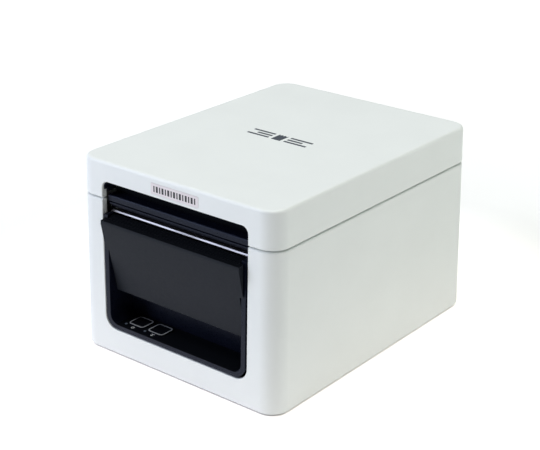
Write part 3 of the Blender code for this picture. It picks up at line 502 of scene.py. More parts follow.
def sticker_paper(name, colour):
    """Coated label paper with faint fibres and slightly uneven colour."""
    look = Finish(name, 0.5)
    fibres = look.noise(900.0, 4.0, 0.7)
    stain = look.between(look.noise(70.0, 3.0), 0.0, 1.0)
    look.colour(look.blend(stain, shade(colour, 0.97), shade(colour, 1.03)))
    look.roughen(look.between(fibres, 0.42, 0.56))
    look.bump(fibres, 0.25, 0.01 * MM)
    return look.material


def printed_ink(name, colour):
    """Screen printed ink, slightly uneven in cover."""
    look = Finish(name, 0.55)
    dots = look.noise(1500.0, 3.0, 0.7)
    look.colour(look.blend(look.between(dots, 0.0, 1.0), shade(colour, 0.9),
                           shade(colour, 1.15)))
    look.roughen(look.between(dots, 0.48, 0.62))
    look.bump(dots, 0.2, 0.01 * MM)
    return look.material


def lens_plastic(name, colour):
    """Coated lens of an indicator light that is off."""
    look = Finish(name, 0.2)
    cloud = look.noise(600.0, 2.0)
    look.colour(look.blend(look.between(cloud, 0.0, 1.0), shade(colour, 0.85), colour))
    look.roughen(look.between(cloud, 0.15, 0.25))
    look.bump(cloud, 0.2, 0.01 * MM)
    look.shader.inputs["Coat Weight"].default_value = 0.4
    return look.material


# Gloss of the visible black plastics, which is bluish in the photo
COOL = (0.62, 0.74, 1.0)

WHITE = moulded("case_plastic", (0.80, 0.83, 0.82), 0.46, 2200.0, 0.012 * MM, 0.012)
GLOSS_BLACK = moulded("trim_plastic", (0.0040, 0.0050, 0.012), 0.30, 2600.0, 0.006 * MM, 0.08,
                      specular=0.22, tint=COOL)
CHARCOAL = moulded("lever_plastic", (0.0110, 0.0128, 0.0165), 0.50, 1600.0, 0.022 * MM, 0.06,
                   specular=0.12, tint=COOL)
INNER_BLACK = moulded("inner_plastic", (0.014, 0.015, 0.019), 0.48, 1400.0, 0.02 * MM, 0.08,
                      specular=0.3)
ACETAL = moulded("gear_acetal", (0.76, 0.75, 0.69), 0.40, 1800.0, 0.008 * MM, 0.03)
STEEL = brushed("rolled_steel", (0.62, 0.63, 0.65), 0.26, (60.0, 2400.0, 2400.0))
GROUND_STEEL = brushed("ground_steel", (0.90, 0.91, 0.93), 0.24, (40.0, 900.0, 900.0),
                       0.0008 * MM)
TEAR_STEEL = brushed("tear_steel", (0.28, 0.275, 0.28), 0.40, (40.0, 900.0, 900.0), 0.0008 * MM)
PLATED = brushed("plated_steel", (0.33, 0.34, 0.36), 0.38, (1800.0, 120.0, 1800.0))
SINK = brushed("extruded_aluminium", (0.72, 0.73, 0.75), 0.34, (40.0, 1600.0, 1600.0))
FOOT = rubber("foot_rubber", (0.022, 0.022, 0.024), 1500.0)
ROLLER = rubber("roller_rubber", (0.035, 0.035, 0.040), 2600.0)
BOARD = circuit_board("circuit_board")
CERAMIC = moulded("glazed_ceramic", (0.82, 0.81, 0.77), 0.24, 900.0, 0.004 * MM, 0.03)
RIBBON = flat_cable("flat_cable")
LABEL = sticker_paper("label_stock", (0.76, 0.71, 0.725))
INK = printed_ink("dark_ink", (0.035, 0.034, 0.040))
GREY_INK = printed_ink("grey_ink", (0.065, 0.075, 0.095))
PALE_INK = printed_ink("pale_ink", (0.66, 0.66, 0.63))
RING_INK = printed_ink("ring_ink", (0.34, 0.35, 0.35))
# Matt black of the button caps, also laid on recessed faces of the bezel and the lid's panel as
# painted shade, and on the lever's dark rim
MATT_BLACK_AND_SHADE = moulded("matt_black_and_painted_shade", (0.0034, 0.0040, 0.0056), 0.62, 1600.0, 0.02 * MM, 0.08,
                     specular=0.04, tint=COOL)
LENS = lens_plastic("light_lens", (0.16, 0.19, 0.23))

FINISH_OF = {
    "white_case": WHITE,
    "black_gloss_trim": GLOSS_BLACK,
    "charcoal_lever": CHARCOAL,
    "black_inner": INNER_BLACK,
    "foot_rubber": FOOT,
    "platen_rubber": ROLLER,
    "gear_plastic": ACETAL,
    "board": BOARD,
    "head_ceramic": CERAMIC,
    "heat_sink_aluminium": SINK,
    "label": LABEL,
    "ribbon": RIBBON,
    "light_lens": LENS,
    "plated_steel": PLATED,
    "bright_steel": STEEL,
}


# ---------------------------------------------------------------- white case


def case_ring(inset, height):
    """The case's drafted outline at one height, drawn in by an inset."""
    half_w = CASE_W / 2 + flare(height) - inset
    half_d = CASE_D / 2 + flare(height) - inset
    radius = CORNER_R - inset
    outline = rounded((-half_w, -half_d), (half_w, half_d), radius, radius, CORNER_STEPS)
    return [at(x, CASE_D / 2 + depth, height) for x, depth in outline]


def edge_profile(centre, radius, start):
    """Insets and heights round an edge, a quarter turn from an angle about the round's centre."""
    return arc(centre, radius, start, start - 90, EDGE_STEPS)


# How far a cutter reaches through a wall on either side of its face
MOUTH_REACH = 6.0 * MM


def mouth_cutter(name, outline, radius, surface, outward):
    """Cutter through a drafted wall whose mouth opens along a quarter round.

    outline(grow) gives the (X, height) points and surface(height) the wall's depth. outward is the
    sign of the wall's outward direction. The round ends just outside the wall, so no skin is left.
    """
    steps = 5
    outside = 0.01 * MM
    stations = [(0.0, MOUTH_REACH)]
    for step in range(steps + 1):
        angle = math.radians(90 - 90 * step / steps)
        stations.append((radius * (1 - math.sin(angle)),
                         radius * (1 - math.cos(angle)) - outside))
    stations.append((radius, -MOUTH_REACH))
    rings = []
    for grow, behind in stations:
        points = outline(grow)
        rings.append([at(x, surface(height) - outward * behind, height) for x, height in points])
    return loft(name, rings)


def opening_outline(grow):
    """Outline of the front opening, grown by a distance."""
    steps = 10
    low = (-OPENING_HALF_W - grow, OPENING_LOW - grow)
    high = (OPENING_HALF_W + grow, OPENING_HIGH + grow)
    return rounded(low, high, OPENING_LOW_R + grow, OPENING_HIGH_R + grow, steps)


def front_surface(height):
    return -flare(height)


def rear_surface(height):
    return CASE_D + flare(height)


def opening_cutter(name):
    edge_r = 0.45 * MM
    return mouth_cutter(name, opening_outline, edge_r, front_surface, -1)


# Hinge knuckles and pins, with their spans of X on the right side
KNUCKLE_R = 2.6 * MM
CASE_KNUCKLES = ((24.0 * MM, 29.5 * MM), (38.5 * MM, 44.0 * MM))
LID_KNUCKLES = ((30.0 * MM, 38.0 * MM),)
PIN_R = 1.25 * MM
PIN_REACH = (23.9 * MM, 44.1 * MM)


def hinge_rod(name, xs, radius, sides=32):
    """A rod on the lid's hinge axis between two places."""
    outline = circle((HINGE.y - FRONT_Y, HINGE.z - BASE_Z), radius, sides)
    return prism(name, outline, xs, "X")


def add_hinge(piece, own, other):
    """Knuckles for a piece, room for the other piece's knuckles, and the pin's bore."""
    end_room = 0.35 * MM
    round_room = 0.4 * MM
    for side in (-1, 1):
        for near, far in other:
            room = (side * (near - end_room), side * (far + end_room))
            carve(piece, hinge_rod("room", room, KNUCKLE_R + round_room))
        for near, far in own:
            carve(piece, hinge_rod("knuckle", (side * near, side * far), KNUCKLE_R), how="UNION")
        bore = (side * PIN_REACH[0], side * PIN_REACH[1])
        carve(piece, hinge_rod("bore", bore, PIN_R, sides=20))


def lower_shell():
    """White lower case with softly rounded edges round its opening, top and bottom."""
    bottom_r = 0.6 * MM
    top_r = 1.1 * MM
    inner_r = 0.3 * MM
    profile = edge_profile((bottom_r, bottom_r), bottom_r, 270)
    profile += edge_profile((top_r, LOWER_TOP - top_r), top_r, 180)
    profile += edge_profile((WALL - inner_r, LOWER_TOP - inner_r), inner_r, 90)
    profile += edge_profile((WALL - inner_r, inner_r), inner_r, 0)
    rings = [case_ring(inset, height) for inset, height in profile]
    shell = loft("lower_shell", rings, closed=True)
    carve(shell, opening_cutter("opening"))
    low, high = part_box("rear_panel")
    room = 0.4 * MM
    corner_r = 0.6 * MM
    hole_edge_r = 0.3 * MM

    def panel_hole(grow):
        corner = corner_r + grow
        lower = (low.x - room - grow, low.z - BASE_Z - room - grow)
        upper = (high.x + room + grow, high.z - BASE_Z + room + grow)
        return rounded(lower, upper, corner, corner, 3)

    carve(shell, mouth_cutter("panel_hole", panel_hole, hole_edge_r, rear_surface, 1))
    add_hinge(shell, CASE_KNUCKLES, LID_KNUCKLES)
    dress(shell, WHITE, "lower_case")


def lid_cover():
    """White lid: shallow tray with a rounded top edge, a label recess and ribs inside."""
    low_r = 0.55 * MM
    inner_r = 1.2 * MM
    crown_steps = 8
    roof = CASE_H - WALL
    profile = [(WALL + 3 * MM, roof)]
    profile += arc((WALL + inner_r, roof - inner_r), inner_r, 90, 180, EDGE_STEPS)
    profile += edge_profile((WALL - low_r, LID_LOW + low_r), low_r, 0)
    profile += edge_profile((low_r, LID_LOW + low_r), low_r, 270)
    crown = CASE_H - PRINT_T
    profile += arc((TOP_EDGE_R, crown - TOP_EDGE_R), TOP_EDGE_R, 180, 90, crown_steps)
    profile.append((TOP_EDGE_R + 2 * MM, crown))
    cover = loft("lid_cover", [case_ring(inset, height) for inset, height in profile])
    carve(cover, opening_cutter("opening"))
    xs, _, heights = span("label_plate")
    edge = 0.1 * MM
    recess_outline = rounded((xs[0] - edge, heights[0] - edge), (xs[1] + edge, heights[1] + edge),
                             LABEL_CORNER_R, LABEL_CORNER_R, 4)
    face = front_surface(middle(heights))
    carve(cover, prism("label_recess", recess_outline, (face - 3 * MM, face + 0.7 * MM), "Y"))
    half_rib = 0.6 * MM
    rib_depths = (64 * MM, 158 * MM)
    rib_heights = (roof - 1.6 * MM, roof + 0.5 * MM)
    ribs = []
    for x in (-36 * MM, -12 * MM, 12 * MM, 36 * MM):
        ribs.append(box_piece("rib", (x - half_rib, x + half_rib), rib_depths, rib_heights))
    carve(cover, *ribs, how="UNION")
    add_hinge(cover, LID_KNUCKLES, CASE_KNUCKLES)
    dress(cover, WHITE, "lid_shell")


def label():
    """Plain label with an even, generic row of bars."""
    xs, depths, heights = span("label_plate")
    outline = rounded((xs[0], heights[0]), (xs[1], heights[1]), LABEL_CORNER_R, LABEL_CORNER_R, 6)
    plate = prism("front_label", outline, depths, "Y")
    soften(plate, 0.08 * MM)
    dress(plate, LABEL, "label_plate")
    widths = (0.8, 1.3) * 7 + (0.8,)
    gap = 0.8 * MM
    margin = 1.25 * MM
    proud = 0.02 * MM
    thick = 0.03 * MM
    total = sum(widths) * MM + gap * (len(widths) - 1)
    x = middle(xs) - total / 2
    low = heights[0] + margin
    high = heights[1] - margin
    face_at = depths[0] - proud
    bars = []
    for width in widths:
        right = x + width * MM
        bars.append([at(x, face_at, low), at(right, face_at, low),
                     at(right, face_at, high), at(x, face_at, high)])
        x += width * MM + gap
    trim(slabs("label_bars", bars, Vector((0.0, thick, 0.0))), INK, "label_plate")


# ---------------------------------------------------------------- buttons and printed marks


BUTTONS = ("power_button", "feed_button")
BUTTON_CORNER_R = 2.0 * MM
RING_INSET = 0.12 * MM
RING_W = 0.65 * MM


def ring_loft(name, outer, inner, low, high):
    """A flat frame between two outlines of equal length, standing between two heights."""
    rings = []
    for outline, height in ((outer, low), (outer, high), (inner, high), (inner, low)):
        rings.append([at(x, depth, height) for x, depth in outline])
    return loft(name, rings, closed=True)


def button_outline(node, inset):
    """A button's (X, depth) outline, drawn in by an inset."""
    xs, depths, _ = span(node)
    radius = BUTTON_CORNER_R - inset
    low = (xs[0] + inset, depths[0] + inset)
    high = (xs[1] - inset, depths[1] - inset)
    return rounded(low, high, radius, radius, 6)


def button_cap(node):
    """Push button with a rounded rim, a dished face and a pale ring printed round its edge."""
    most_inset = BUTTON_CORNER_R * 0.9
    _, _, heights = span(node)
    top = heights[1] - PRINT_T
    edge = 0.4 * MM
    dish = 0.25 * MM
    profile = [(0.0, heights[0])]
    profile += arc((edge, top - edge), edge, 180, 90, EDGE_STEPS)
    profile.append((RING_W + edge, top))
    profile.append((RING_W + 1.5 * edge, top - dish * 0.7))
    profile.append((RING_W + 2 * edge, top - dish))
    rings = []
    for inset, height in profile:
        outline = button_outline(node, min(inset, most_inset))
        rings.append([at(x, depth, height) for x, depth in outline])
    dress(loft(f"{node}_cap", rings), MATT_BLACK_AND_SHADE, node)
    outer = button_outline(node, RING_INSET)
    inner = button_outline(node, RING_INSET + RING_W)
    ring = ring_loft(f"{node}_ring", outer, inner, top - edge / 2, top + PRINT_T)
    trim(ring, RING_INK, node)


def flat_marks(name, outlines, height, finish, node):
    """Printed shapes of (X, depth) points lying on a level face."""
    low = height - PRINT_T / 2
    marks = [[at(x, depth, low) for x, depth in outline] for outline in outlines]
    trim(slabs(name, marks, Vector((0.0, 0.0, PRINT_T))), finish, node)


def bar(x, depth, wide, deep):
    left, right = around(x, wide)
    near, far = around(depth, deep)
    return [(left, near), (right, near), (right, far), (left, far)]


def open_ring(x, depth, radius, line, start, end):
    """A broken ring as one outline."""
    steps = 16
    outer = arc((x, depth), radius, start, end, steps)
    return outer + arc((x, depth), radius - line, end, start, steps)


def button_marks():
    """A power sign and a feed arrow in front of the two buttons."""
    floor_h = recess_floor()
    depth = 1.5 * MM
    line = 0.35 * MM
    radius = 0.95 * MM
    x = middle(span("power_button")[0])
    power = [open_ring(x, depth, radius, line, 120, 420)]
    power.append(bar(x, depth + radius * 0.6, line, radius))
    flat_marks("power_mark", power, floor_h, PALE_INK, "front_bezel")
    x = middle(span("feed_button")[0])
    arrow = [[(x - radius, depth), (x + radius, depth), (x, depth - radius)]]
    arrow.append(bar(x, depth + 0.5 * MM, line, MM))
    arrow.append(bar(x, depth + 1.1 * MM, 2.2 * radius, line))
    flat_marks("feed_mark", arrow, floor_h, PALE_INK, "front_bezel")


def lid_emblem():
    """Plain emblem on the lid, read from behind: a torn paper slip between two sets of lines."""
    x = -1.0 * MM
    near, far = 79.0 * MM, 87.2 * MM
    half = 2.9 * MM
    teeth = 3
    bite = 1.2 * MM
    slip = [(x - half, near), (x + half, near)]
    for step in range(2 * teeth + 1):
        rise = 0.0 if step % 2 == 0 else bite
        slip.append((x + half - step * half / teeth, far - rise))
    shapes = [slip]
    gap = 2.1 * MM
    stroke = 1.6 * MM
    pitch = 3.0 * MM
    long, short = 14.0 * MM, 9.5 * MM
    for step, length in enumerate((long, short, long)):
        depth = near + MM + step * pitch
        for side in (-1, 1):
            shapes.append(bar(x + side * (half + gap + length / 2), depth, length, stroke))
    flat_marks("lid_emblem", shapes, CASE_H - PRINT_T / 2, GREY_INK, "lid_shell")


# ---------------------------------------------------------------- floor, lights, camera


# Camera's place, its turns in degrees and its lens and sensor in mm
CAMERA_AT = Vector((407.95 * MM, -516.18 * MM, 331.07 * MM))
CAMERA_AZIMUTH = 38.752
CAMERA_DOWN = 22.674
CAMERA_ROLL = 0.345
LENS_LENGTH = 90.244
SENSOR = 36.0


def camera():
    """Camera at the right front, looking down on the printer."""
    data = bpy.data.cameras.new("camera")
    data.lens = LENS_LENGTH
    data.sensor_width = SENSOR
    data.clip_start = 0.05
    data.clip_end = 50.0
    seen = bpy.data.objects.new("camera", data)
    bpy.context.scene.collection.objects.link(seen)
    turn = Matrix.Rotation(math.radians(CAMERA_AZIMUTH), 4, "Z")
    tilt = Matrix.Rotation(math.radians(90 - CAMERA_DOWN), 4, "X")
    roll = Matrix.Rotation(math.radians(CAMERA_ROLL), 4, "Z")
    seen.matrix_world = Matrix.Translation(CAMERA_AT) @ turn @ tilt @ roll
    bpy.context.scene.camera = seen


def soft_light(name, place_at, aim, size, power, colour):
    """A rectangular lamp that faces a point; power in watts."""
    data = bpy.data.lights.new(name, "AREA")
    data.shape = "RECTANGLE"
    data.size = size[0]
    data.size_y = size[1]
    data.energy = power
    data.color = colour
    lamp = bpy.data.objects.new(name, data)
    bpy.context.scene.collection.objects.link(lamp)
    place_at = Vector(place_at)
    facing = (Vector(aim) - place_at).to_track_quat("-Z", "Y")
    lamp.matrix_world = Matrix.Translation(place_at) @ facing.to_matrix().to_4x4()


# The floor's glow: a painted pool of light near the printer, plain beyond that, and far off, with
# the radii in metres over which each passes into the next
FLOOR_COLOUR = (0.94, 0.94, 0.94)
PATCH_GLOW = (0.560, 0.508, 0.483)
PATCH_RADII = (0.10, 0.22)
PLAIN_GLOW = (0.03, 0.03, 0.03)
FAR_GLOW = (0.56, 0.55, 0.55)
FAR_RADII = (0.20, 0.75)

# The glow stops this far inside the outline of the case's foot, over a short way, which paints a
# thin contact shadow under its edge. Further in, under the base, some of it comes back as painted
# light on the underside.
SHADE_INSET = 1.3 * MM
SHADE_EDGE = 0.3 * MM
UNDER_GLOW = 0.8
UNDER_EDGE = 2.0 * MM


def glow_share(look):
    """1 on the floor outside the rounded outline, 0 under its edge as a painted contact shadow,
    some painted light under the base.
    """
    half = Vector((CASE_W / 2 + flare(0), CASE_D / 2 + flare(0), 0.0))
    corner = Vector((CORNER_R, CORNER_R, 0.0))
    where = look.where
    steps = (("SUBTRACT", Vector((0.0, FRONT_Y + CASE_D / 2, 0.0))), ("ABSOLUTE", None),
             ("SUBTRACT", half - corner), ("MAXIMUM", Vector((0.0, 0.0, 0.0))), ("LENGTH", None))
    for operation, value in steps:
        made = look.node("ShaderNodeVectorMath", (("operation", operation),))
        look.tree.links.new(where, made.inputs[0])
        if value is not None:
            made.inputs[1].default_value = value
        where = made.outputs["Value"] if operation == "LENGTH" else made.outputs["Vector"]
    edge = CORNER_R - SHADE_INSET
    outside = look.between(where, 0.0, 1.0, edge, edge + SHADE_EDGE)
    under = look.between(where, 1.0, 0.0, 0.0, UNDER_EDGE)
    return look.add(outside, under, UNDER_GLOW)


def floor():
    """Large pale floor that glows like a lit studio table and is clear from underneath."""
    sheet = bmesh.new()
    bmesh.ops.create_grid(sheet, x_segments=8, y_segments=8, size=6.0)
    ground = from_bmesh("floor", sheet)
    look = Finish("floor_paper", 0.9)
    grain = look.noise(40.0, 3.0)
    look.colour(look.blend(grain, shade(FLOOR_COLOUR, 0.99), shade(FLOOR_COLOUR, 1.01)))
    reach = look.node("ShaderNodeVectorMath", (("operation", "LENGTH"),))
    look.tree.links.new(look.where, reach.inputs[0])
    reach = reach.outputs["Value"]
    far = look.blend(look.between(reach, 0.0, 1.0, *FAR_RADII), PLAIN_GLOW, FAR_GLOW)
    # A painted pool of light on the floor round the printer, which also lights its lower sides
    patch = look.between(reach, 1.0, 0.0, *PATCH_RADII, smooth=True)
    glow = look.blend(patch, far, PATCH_GLOW)
    look.tree.links.new(glow, look.shader.inputs["Emission Color"])
    look.tree.links.new(glow_share(look), look.shader.inputs["Emission Strength"])
    side = look.node("ShaderNodeNewGeometry").outputs["Backfacing"]
    clear = look.node("ShaderNodeBsdfTransparent").outputs["BSDF"]
    either = look.tree.nodes.new("ShaderNodeMixShader")
    look.tree.links.new(side, either.inputs[0])
    look.tree.links.new(look.shader.outputs["BSDF"], either.inputs[1])
    look.tree.links.new(clear, either.inputs[2])
    output = look.tree.nodes["Material Output"]
    look.tree.links.new(either.outputs["Shader"], output.inputs["Surface"])
    ground.data.materials.append(look.material)


def studio():
    """Soft boxes above, at the front left and at the right back, in a dim room."""
    world = bpy.data.worlds.new("studio")
    bpy.context.scene.world = world
    world.use_nodes = True
    backdrop = world.node_tree.nodes["Background"]
    backdrop.inputs["Color"].default_value = (1.0, 1.0, 1.0, 1.0)
    backdrop.inputs["Strength"].default_value = 0.048
    aim = (0.0, 0.0, 0.05)
    soft_light("top_box", (0.0, 0.0, 1.5), aim, (1.4, 1.4), 21.9, (0.993, 1.0, 0.960))
    soft_light("front_left_box", (-1.1, -1.0, 0.7), aim, (1.0, 0.8), 13.9, (0.737, 0.799, 1.0))
    soft_light("right_back_box", (0.60, 0.45, 0.35), aim, (0.4, 0.3), 0.85, (0.868, 1.0, 0.86))
    bpy.context.scene.view_settings.view_transform = "Standard"


# ---------------------------------------------------------------- everything else from the frame


# Width of the broken edges: of some nodes, and of all others
EDGE_OF = {
    "front_bezel": 0.5 * MM,
    "cover_lever": 0.5 * MM,
    "lid_front_panel": 0.15 * MM,
}
PLAIN_EDGE = 0.12 * MM


def coil(node, axis, turns, short):
    """A smoothly wound spring in place of a node, ending a little short of its top."""
    wire = 0.35 * MM
    low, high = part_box(node)
    across, up, along = {"X": (1, 2, 0), "Z": (0, 1, 2)}[axis]
    radius = (high[across] - low[across]) / 2 - wire
    centre = (low + high) / 2
    per_turn = 28
    count = turns * per_turn
    rise = high[along] - low[along] - 2 * wire - short
    rings = []
    for step in range(count + 1):
        angle = 2 * math.pi * step / per_turn
        travel = low[along] + wire + rise * step / count
        ring = []
        for out, side in circle((0.0, 0.0), wire, 10):
            point = [0.0, 0.0, 0.0]
            point[across] = centre[across] + (radius + out) * math.cos(angle)
            point[up] = centre[up] + (radius + out) * math.sin(angle)
            point[along] = travel + side
            ring.append(Vector(point))
        rings.append(ring)
    dress(loft(f"{node}_coil", rings), STEEL, node)


def motor(node, axis):
    """Round motor can with stepped ends and a seam round its middle."""
    low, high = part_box(node)
    along = "XYZ".index(axis)
    centre = (low + high) / 2
    half = (high[along] - low[along]) / 2
    radius = (high.z - low.z) / 2
    seam = 0.3 * MM
    profile = [(radius * 0.45, -half), (radius * 0.45, -half + 0.6 * MM),
               (radius * 0.9, -half + 0.6 * MM), (radius, -half + 1.2 * MM),
               (radius, -seam), (radius - seam, -seam), (radius - seam, seam), (radius, seam),
               (radius, half - 1.2 * MM), (radius * 0.93, half - 0.5 * MM),
               (radius * 0.5, half - 0.5 * MM), (radius * 0.45, half)]
    dress(turned(f"{node}_can", profile, centre, axis), PLATED, node)


def foot(node):
    """Rubber foot with a rounded rim and a hollow in its sole."""
    low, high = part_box(node)
    radius = (high.x - low.x) / 2
    tall = high.z - low.z
    centre = Vector(((low.x + high.x) / 2, (low.y + high.y) / 2, low.z))
    profile = [(radius * 0.55, 0.4 * MM), (radius * 0.62, 0.0), (radius * 0.93, 0.0),
               (radius * 0.98, 0.15 * MM), (radius, 0.4 * MM), (radius, tall)]
    dress(turned(f"{node}_pad", profile, centre, "Z"), FOOT, node)


def base_screw(node):
    """Pan head screw with a cross recess."""
    low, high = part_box(node)
    centre = Vector(((low.x + high.x) / 2, (low.y + high.y) / 2, low.z))
    head_r = (high.x - low.x) / 2
    tall = high.z - low.z
    shank_r = 1.2 * MM
    head_h = 0.9 * MM
    profile = [(head_r * 0.75, 0.0), (head_r * 0.92, 0.12 * MM), (head_r, 0.4 * MM),
               (head_r, head_h), (shank_r, head_h), (shank_r, tall - shank_r), (0.2 * MM, tall)]
    screw = turned(f"{node}_cross", profile, centre, "Z", 32)
    depth = centre.y - FRONT_Y
    height = centre.z - BASE_Z
    long, narrow = 3.2 * MM, 0.7 * MM
    cut = (height - 0.5 * MM, height + 0.65 * MM)
    slots = []
    for wide, deep in ((long, narrow), (narrow, long)):
        slots.append(box_piece("slot", around(centre.x, wide), around(depth, deep), cut))
    carve(screw, *slots)
    dress(screw, PLATED, node)


def base():
    """Base plate with shallow grooves round a plain middle field, seen from below."""
    plate = copy_of("base_plate", "base_plate_finished")
    low = span("base_plate")[2][0]
    half_groove = 0.5 * MM
    cut = (low - MM, low + 0.35 * MM)
    field_xs = (-36 * MM, 36 * MM)
    field_depths = (40 * MM, 125 * MM)
    lines = []
    for x in field_xs:
        lines.append(box_piece("groove", (x - half_groove, x + half_groove), field_depths, cut))
    for depth in field_depths:
        lines.append(box_piece("groove", field_xs, (depth - half_groove, depth + half_groove), cut))
    carve(plate, *lines)
    soften(plate, PLAIN_EDGE)
    dress(plate, INNER_BLACK, "base_plate")


def sink():
    """Head carrier with cooling grooves along its underside, and the head's flat heater line."""
    piece = copy_of("heat_sink", "heat_sink_finished")
    xs, _, heights = span("heat_sink")
    first, pitch, count = 18.5, 2.0, 7
    cut = (heights[0] - MM, heights[0] + 1.6 * MM)
    grooves = []
    for number in range(count):
        near = first + pitch * number
        depths = (near * MM, (near + 1) * MM)
        grooves.append(box_piece("groove", (xs[0] - MM, xs[1] + MM), depths, cut))
    carve(piece, *grooves)
    soften(piece, PLAIN_EDGE)
    dress(piece, SINK, "heat_sink")
    xs, _, heights = span("thermal_head")
    line_depth = 24 * MM
    half_line = 0.9 * MM
    flattened = 0.8
    bead = prism("heater_line", arc((line_depth, heights[1]), half_line, 0, 180, 10), xs, "X")
    for vert in bead.data.vertices:
        rise = vert.co.z - BASE_Z - heights[1]
        vert.co.z -= rise * flattened
    trim(bead, INK, "thermal_head")


def bucket():
    """Paper trough with low rails round its floor."""
    piece = copy_of("paper_bucket", "paper_bucket_finished")
    _, depths, _ = span("paper_bucket")
    roll_axis = (middle(depths), 57.8 * MM)
    wall = 1.8 * MM
    radius = (depths[1] - depths[0]) / 2 - wall
    start, end, steps = 200, 340, 32
    outline = arc(roll_axis, radius + 0.5 * MM, start, end, steps)
    outline += arc(roll_axis, radius - 0.8 * MM, end, start, steps)
    half_rail = 0.6 * MM
    rails = []
    for x in (-30 * MM, -10 * MM, 10 * MM, 30 * MM):
        rails.append(prism("rail", outline, (x - half_rail, x + half_rail), "X"))
    carve(piece, *rails, how="UNION")
    soften(piece, PLAIN_EDGE)
    dress(piece, INNER_BLACK, "paper_bucket")


def socket_contacts():
    """Pins, a tongue and spring contacts inside the four rear sockets."""
    cavity = 11 * MM
    back = span("power_socket")[1][1] - cavity
    reach = (back - MM, back + 8.3 * MM)
    xs, _, heights = span("power_socket")
    x, height = middle(xs), middle(heights)
    pin_r, tip_r = 0.85 * MM, 0.4 * MM
    profile = [(pin_r, reach[0]), (pin_r, reach[1] - 0.5 * MM), (tip_r, reach[1])]
    for number, (dx, dh) in enumerate(((-2.6, -1.2), (2.6, -1.2), (0.0, 2.0))):
        centre = at(x + dx * MM, 0.0, height + dh * MM)
        pin = turned(f"power_pin_{number}", profile, centre, "Y", sides=20)
        trim(pin, GROUND_STEEL, "power_socket")
    xs, _, heights = span("usb_socket")
    x, height = middle(xs), middle(heights)
    half_w, half_h = 2.9 * MM, 1.5 * MM
    tongue = box_piece("usb_tongue", (x - half_w, x + half_w), reach,
                       (height - half_h, height + half_h))
    soften(tongue, 0.3 * MM)
    trim(tongue, CERAMIC, "usb_socket")
    pitch = 1.02
    half_wire = 0.2 * MM
    for node, count in (("drawer_socket", 6), ("network_socket", 8)):
        xs, _, heights = span(node)
        top = heights[1] - 1.5 * MM
        outline = [(reach[1], top - 0.1 * MM), (reach[1], top - 0.4 * MM),
                   (back + MM, top - 3.6 * MM), (back + MM, top - 3.3 * MM)]
        for number in range(count):
            x = middle(xs) + (number - (count - 1) / 2) * pitch * MM
            name = f"{node}_contact_{number}"
            wire = prism(name, outline, (x - half_wire, x + half_wire), "X")
            trim(wire, GROUND_STEEL, node)


def board_parts():
    """Chips and round capacitors on the main board, their places and sizes in mm."""
    top = span("main_board")[2][1]
    chips = ((-26, 78, 12, 12), (2, 76, 9, 6), (24, 80, 7, 10), (-30, 132, 8, 8), (28, 132, 14, 8))
    for number, (x, depth, wide, deep) in enumerate(chips):
        chip = box_piece(f"chip_{number}", around(x * MM, wide * MM), around(depth * MM, deep * MM),
                         (top - 0.1 * MM, top + 1.2 * MM))
        soften(chip, 0.15 * MM)
        trim(chip, INNER_BLACK, "main_board")
    profile = [(2.0 * MM, -0.1 * MM), (2.2 * MM, 0.2 * MM), (2.2 * MM, 5.2 * MM),
               (1.8 * MM, 5.5 * MM)]
    for number, (x, depth) in enumerate(((-47, 72), (47, 72), (47, 80), (-47, 118))):
        centre = at(x * MM, depth * MM, top)
        can = turned(f"capacitor_{number}", profile, centre, "Z", sides=24)
        trim(can, SINK, "main_board")


def opening_shade_liner():
    """Black edge folded forward round the lid's share of the opening, put there as painted shade
    inside the opening.
    """
    play = 0.12 * MM
    thin = 0.55 * MM
    near, far = 1.0 * MM, 9.0 * MM
    outer = opening_outline(-play)
    inner = opening_outline(-play - thin)
    rings = []
    for outline, depth in ((outer, near), (outer, far), (inner, far), (inner, near)):
        rings.append([at(x, depth, height) for x, height in outline])
    liner = loft("opening_shade_liner", rings, closed=True)
    wide = (-60 * MM, 60 * MM)
    step = 3.2 * MM
    front_from, rear_from = 88.0 * MM, 86.4 * MM
    carve(liner, box_piece("front_share", wide, (-MM, step), (0.0, front_from)),
          box_piece("rear_share", wide, (step, 12 * MM), (0.0, rear_from)))
    trim(liner, GLOSS_BLACK, "lid_front_panel")


def tear_bar():
    """Ground steel strip with a slanted front edge."""
    xs, depths, heights = span("tear_bar")
    slope = 0.42 * MM
    land = 0.25 * MM
    outline = [(depths[0], heights[0]), (depths[1], heights[0]), (depths[1], heights[1]),
               (depths[0] + slope, heights[1]), (depths[0], heights[0] + land)]
    dress(prism("tear_strip", outline, xs, "X"), TEAR_STEEL, "tear_bar")


# Where the painted shade begins: depths on the recess's floor and the lid's panel. Height on the
# lever above which its rim is dark
FLOOR_SHADE_FROM = 2.0 * MM
PANEL_SHADE_FROM = 6.0 * MM
RIM_FROM = 73.2 * MM


def ramp(value, start, end):
    """0 up to the start, 1 from the end on, and even between them."""
    return min(1.0, max(0.0, (value - start) / (end - start)))


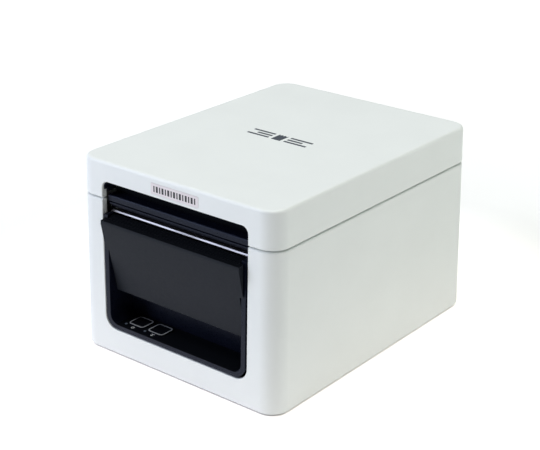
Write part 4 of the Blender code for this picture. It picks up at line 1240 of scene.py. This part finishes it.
def reach_opening(piece):
    """Widen the front recess at its sides and underneath, so that it fills the opening."""
    still_to, edge = 38.0 * MM, 45.5 * MM
    left, right, lower = 0.8 * MM, 0.3 * MM, 0.35 * MM
    floor_h, foot_h = 16.2 * MM, 14.2 * MM
    for vert in piece.data.vertices:
        share = ramp(abs(vert.co.x), still_to, edge)
        vert.co.x += right * share if vert.co.x > 0 else -left * share
        vert.co.z -= lower * ramp(vert.co.z - BASE_Z, floor_h, foot_h)


def remaining_nodes(done):
    """Every other node with its edges broken. Some recessed faces get matt black as painted shade,
    and the lever's rim is dark.
    """
    floor_h = recess_floor() + BUTTON_RISE / 2
    recess_shade_and_dark_rim = {
        "front_bezel": lambda depth, height: depth > FLOOR_SHADE_FROM and height < floor_h,
        "lid_front_panel": lambda depth, height: depth > PANEL_SHADE_FROM,
        "cover_lever": lambda depth, height: height > RIM_FROM,
    }
    for name in sorted(frame["nodes"]):
        if name in done:
            continue
        piece = refined(name, FINISH_OF[SLOT_OF[name]], EDGE_OF.get(name, PLAIN_EDGE))
        # The chosen faces take the matt black: painted shade in the recesses, a dark rim on the
        # lever
        if name in recess_shade_and_dark_rim:
            accent(piece, MATT_BLACK_AND_SHADE, recess_shade_and_dark_rim[name])
        if name == "front_bezel":
            reach_opening(piece)


# ---------------------------------------------------------------- the whole scene


FEET = sorted(node for node in frame["nodes"] if node.startswith("foot_"))
SCREWS = sorted(node for node in frame["nodes"] if node.startswith("base_screw_"))

# Springs: axis, turns and how far each ends short of its node, which leaves the head room to tilt
HEAD_TILT_ROOM = 0.3 * MM
COILS = {
    "head_spring_left": ("Z", 4, HEAD_TILT_ROOM),
    "head_spring_right": ("Z", 4, HEAD_TILT_ROOM),
    "lever_spring": ("X", 5, 0.0),
}
MOTORS = {"feed_motor": "X", "cutter_motor": "Y"}
ONE_OF_A_KIND = (
    "lower_case",
    "lid_shell",
    "label_plate",
    "tear_bar",
    "base_plate",
    "heat_sink",
    "paper_bucket",
)

camera()
studio()
floor()
lower_shell()
lid_cover()
label()
lid_emblem()
for button in BUTTONS:
    button_cap(button)
button_marks()
tear_bar()
opening_shade_liner()
base()
sink()
bucket()
socket_contacts()
board_parts()
for node in FEET:
    foot(node)
for node in SCREWS:
    base_screw(node)
for node, (axis, turns, short) in COILS.items():
    coil(node, axis, turns, short)
for node, axis in MOTORS.items():
    motor(node, axis)
remaining_nodes({*ONE_OF_A_KIND, *BUTTONS, *FEET, *SCREWS, *COILS, *MOTORS})
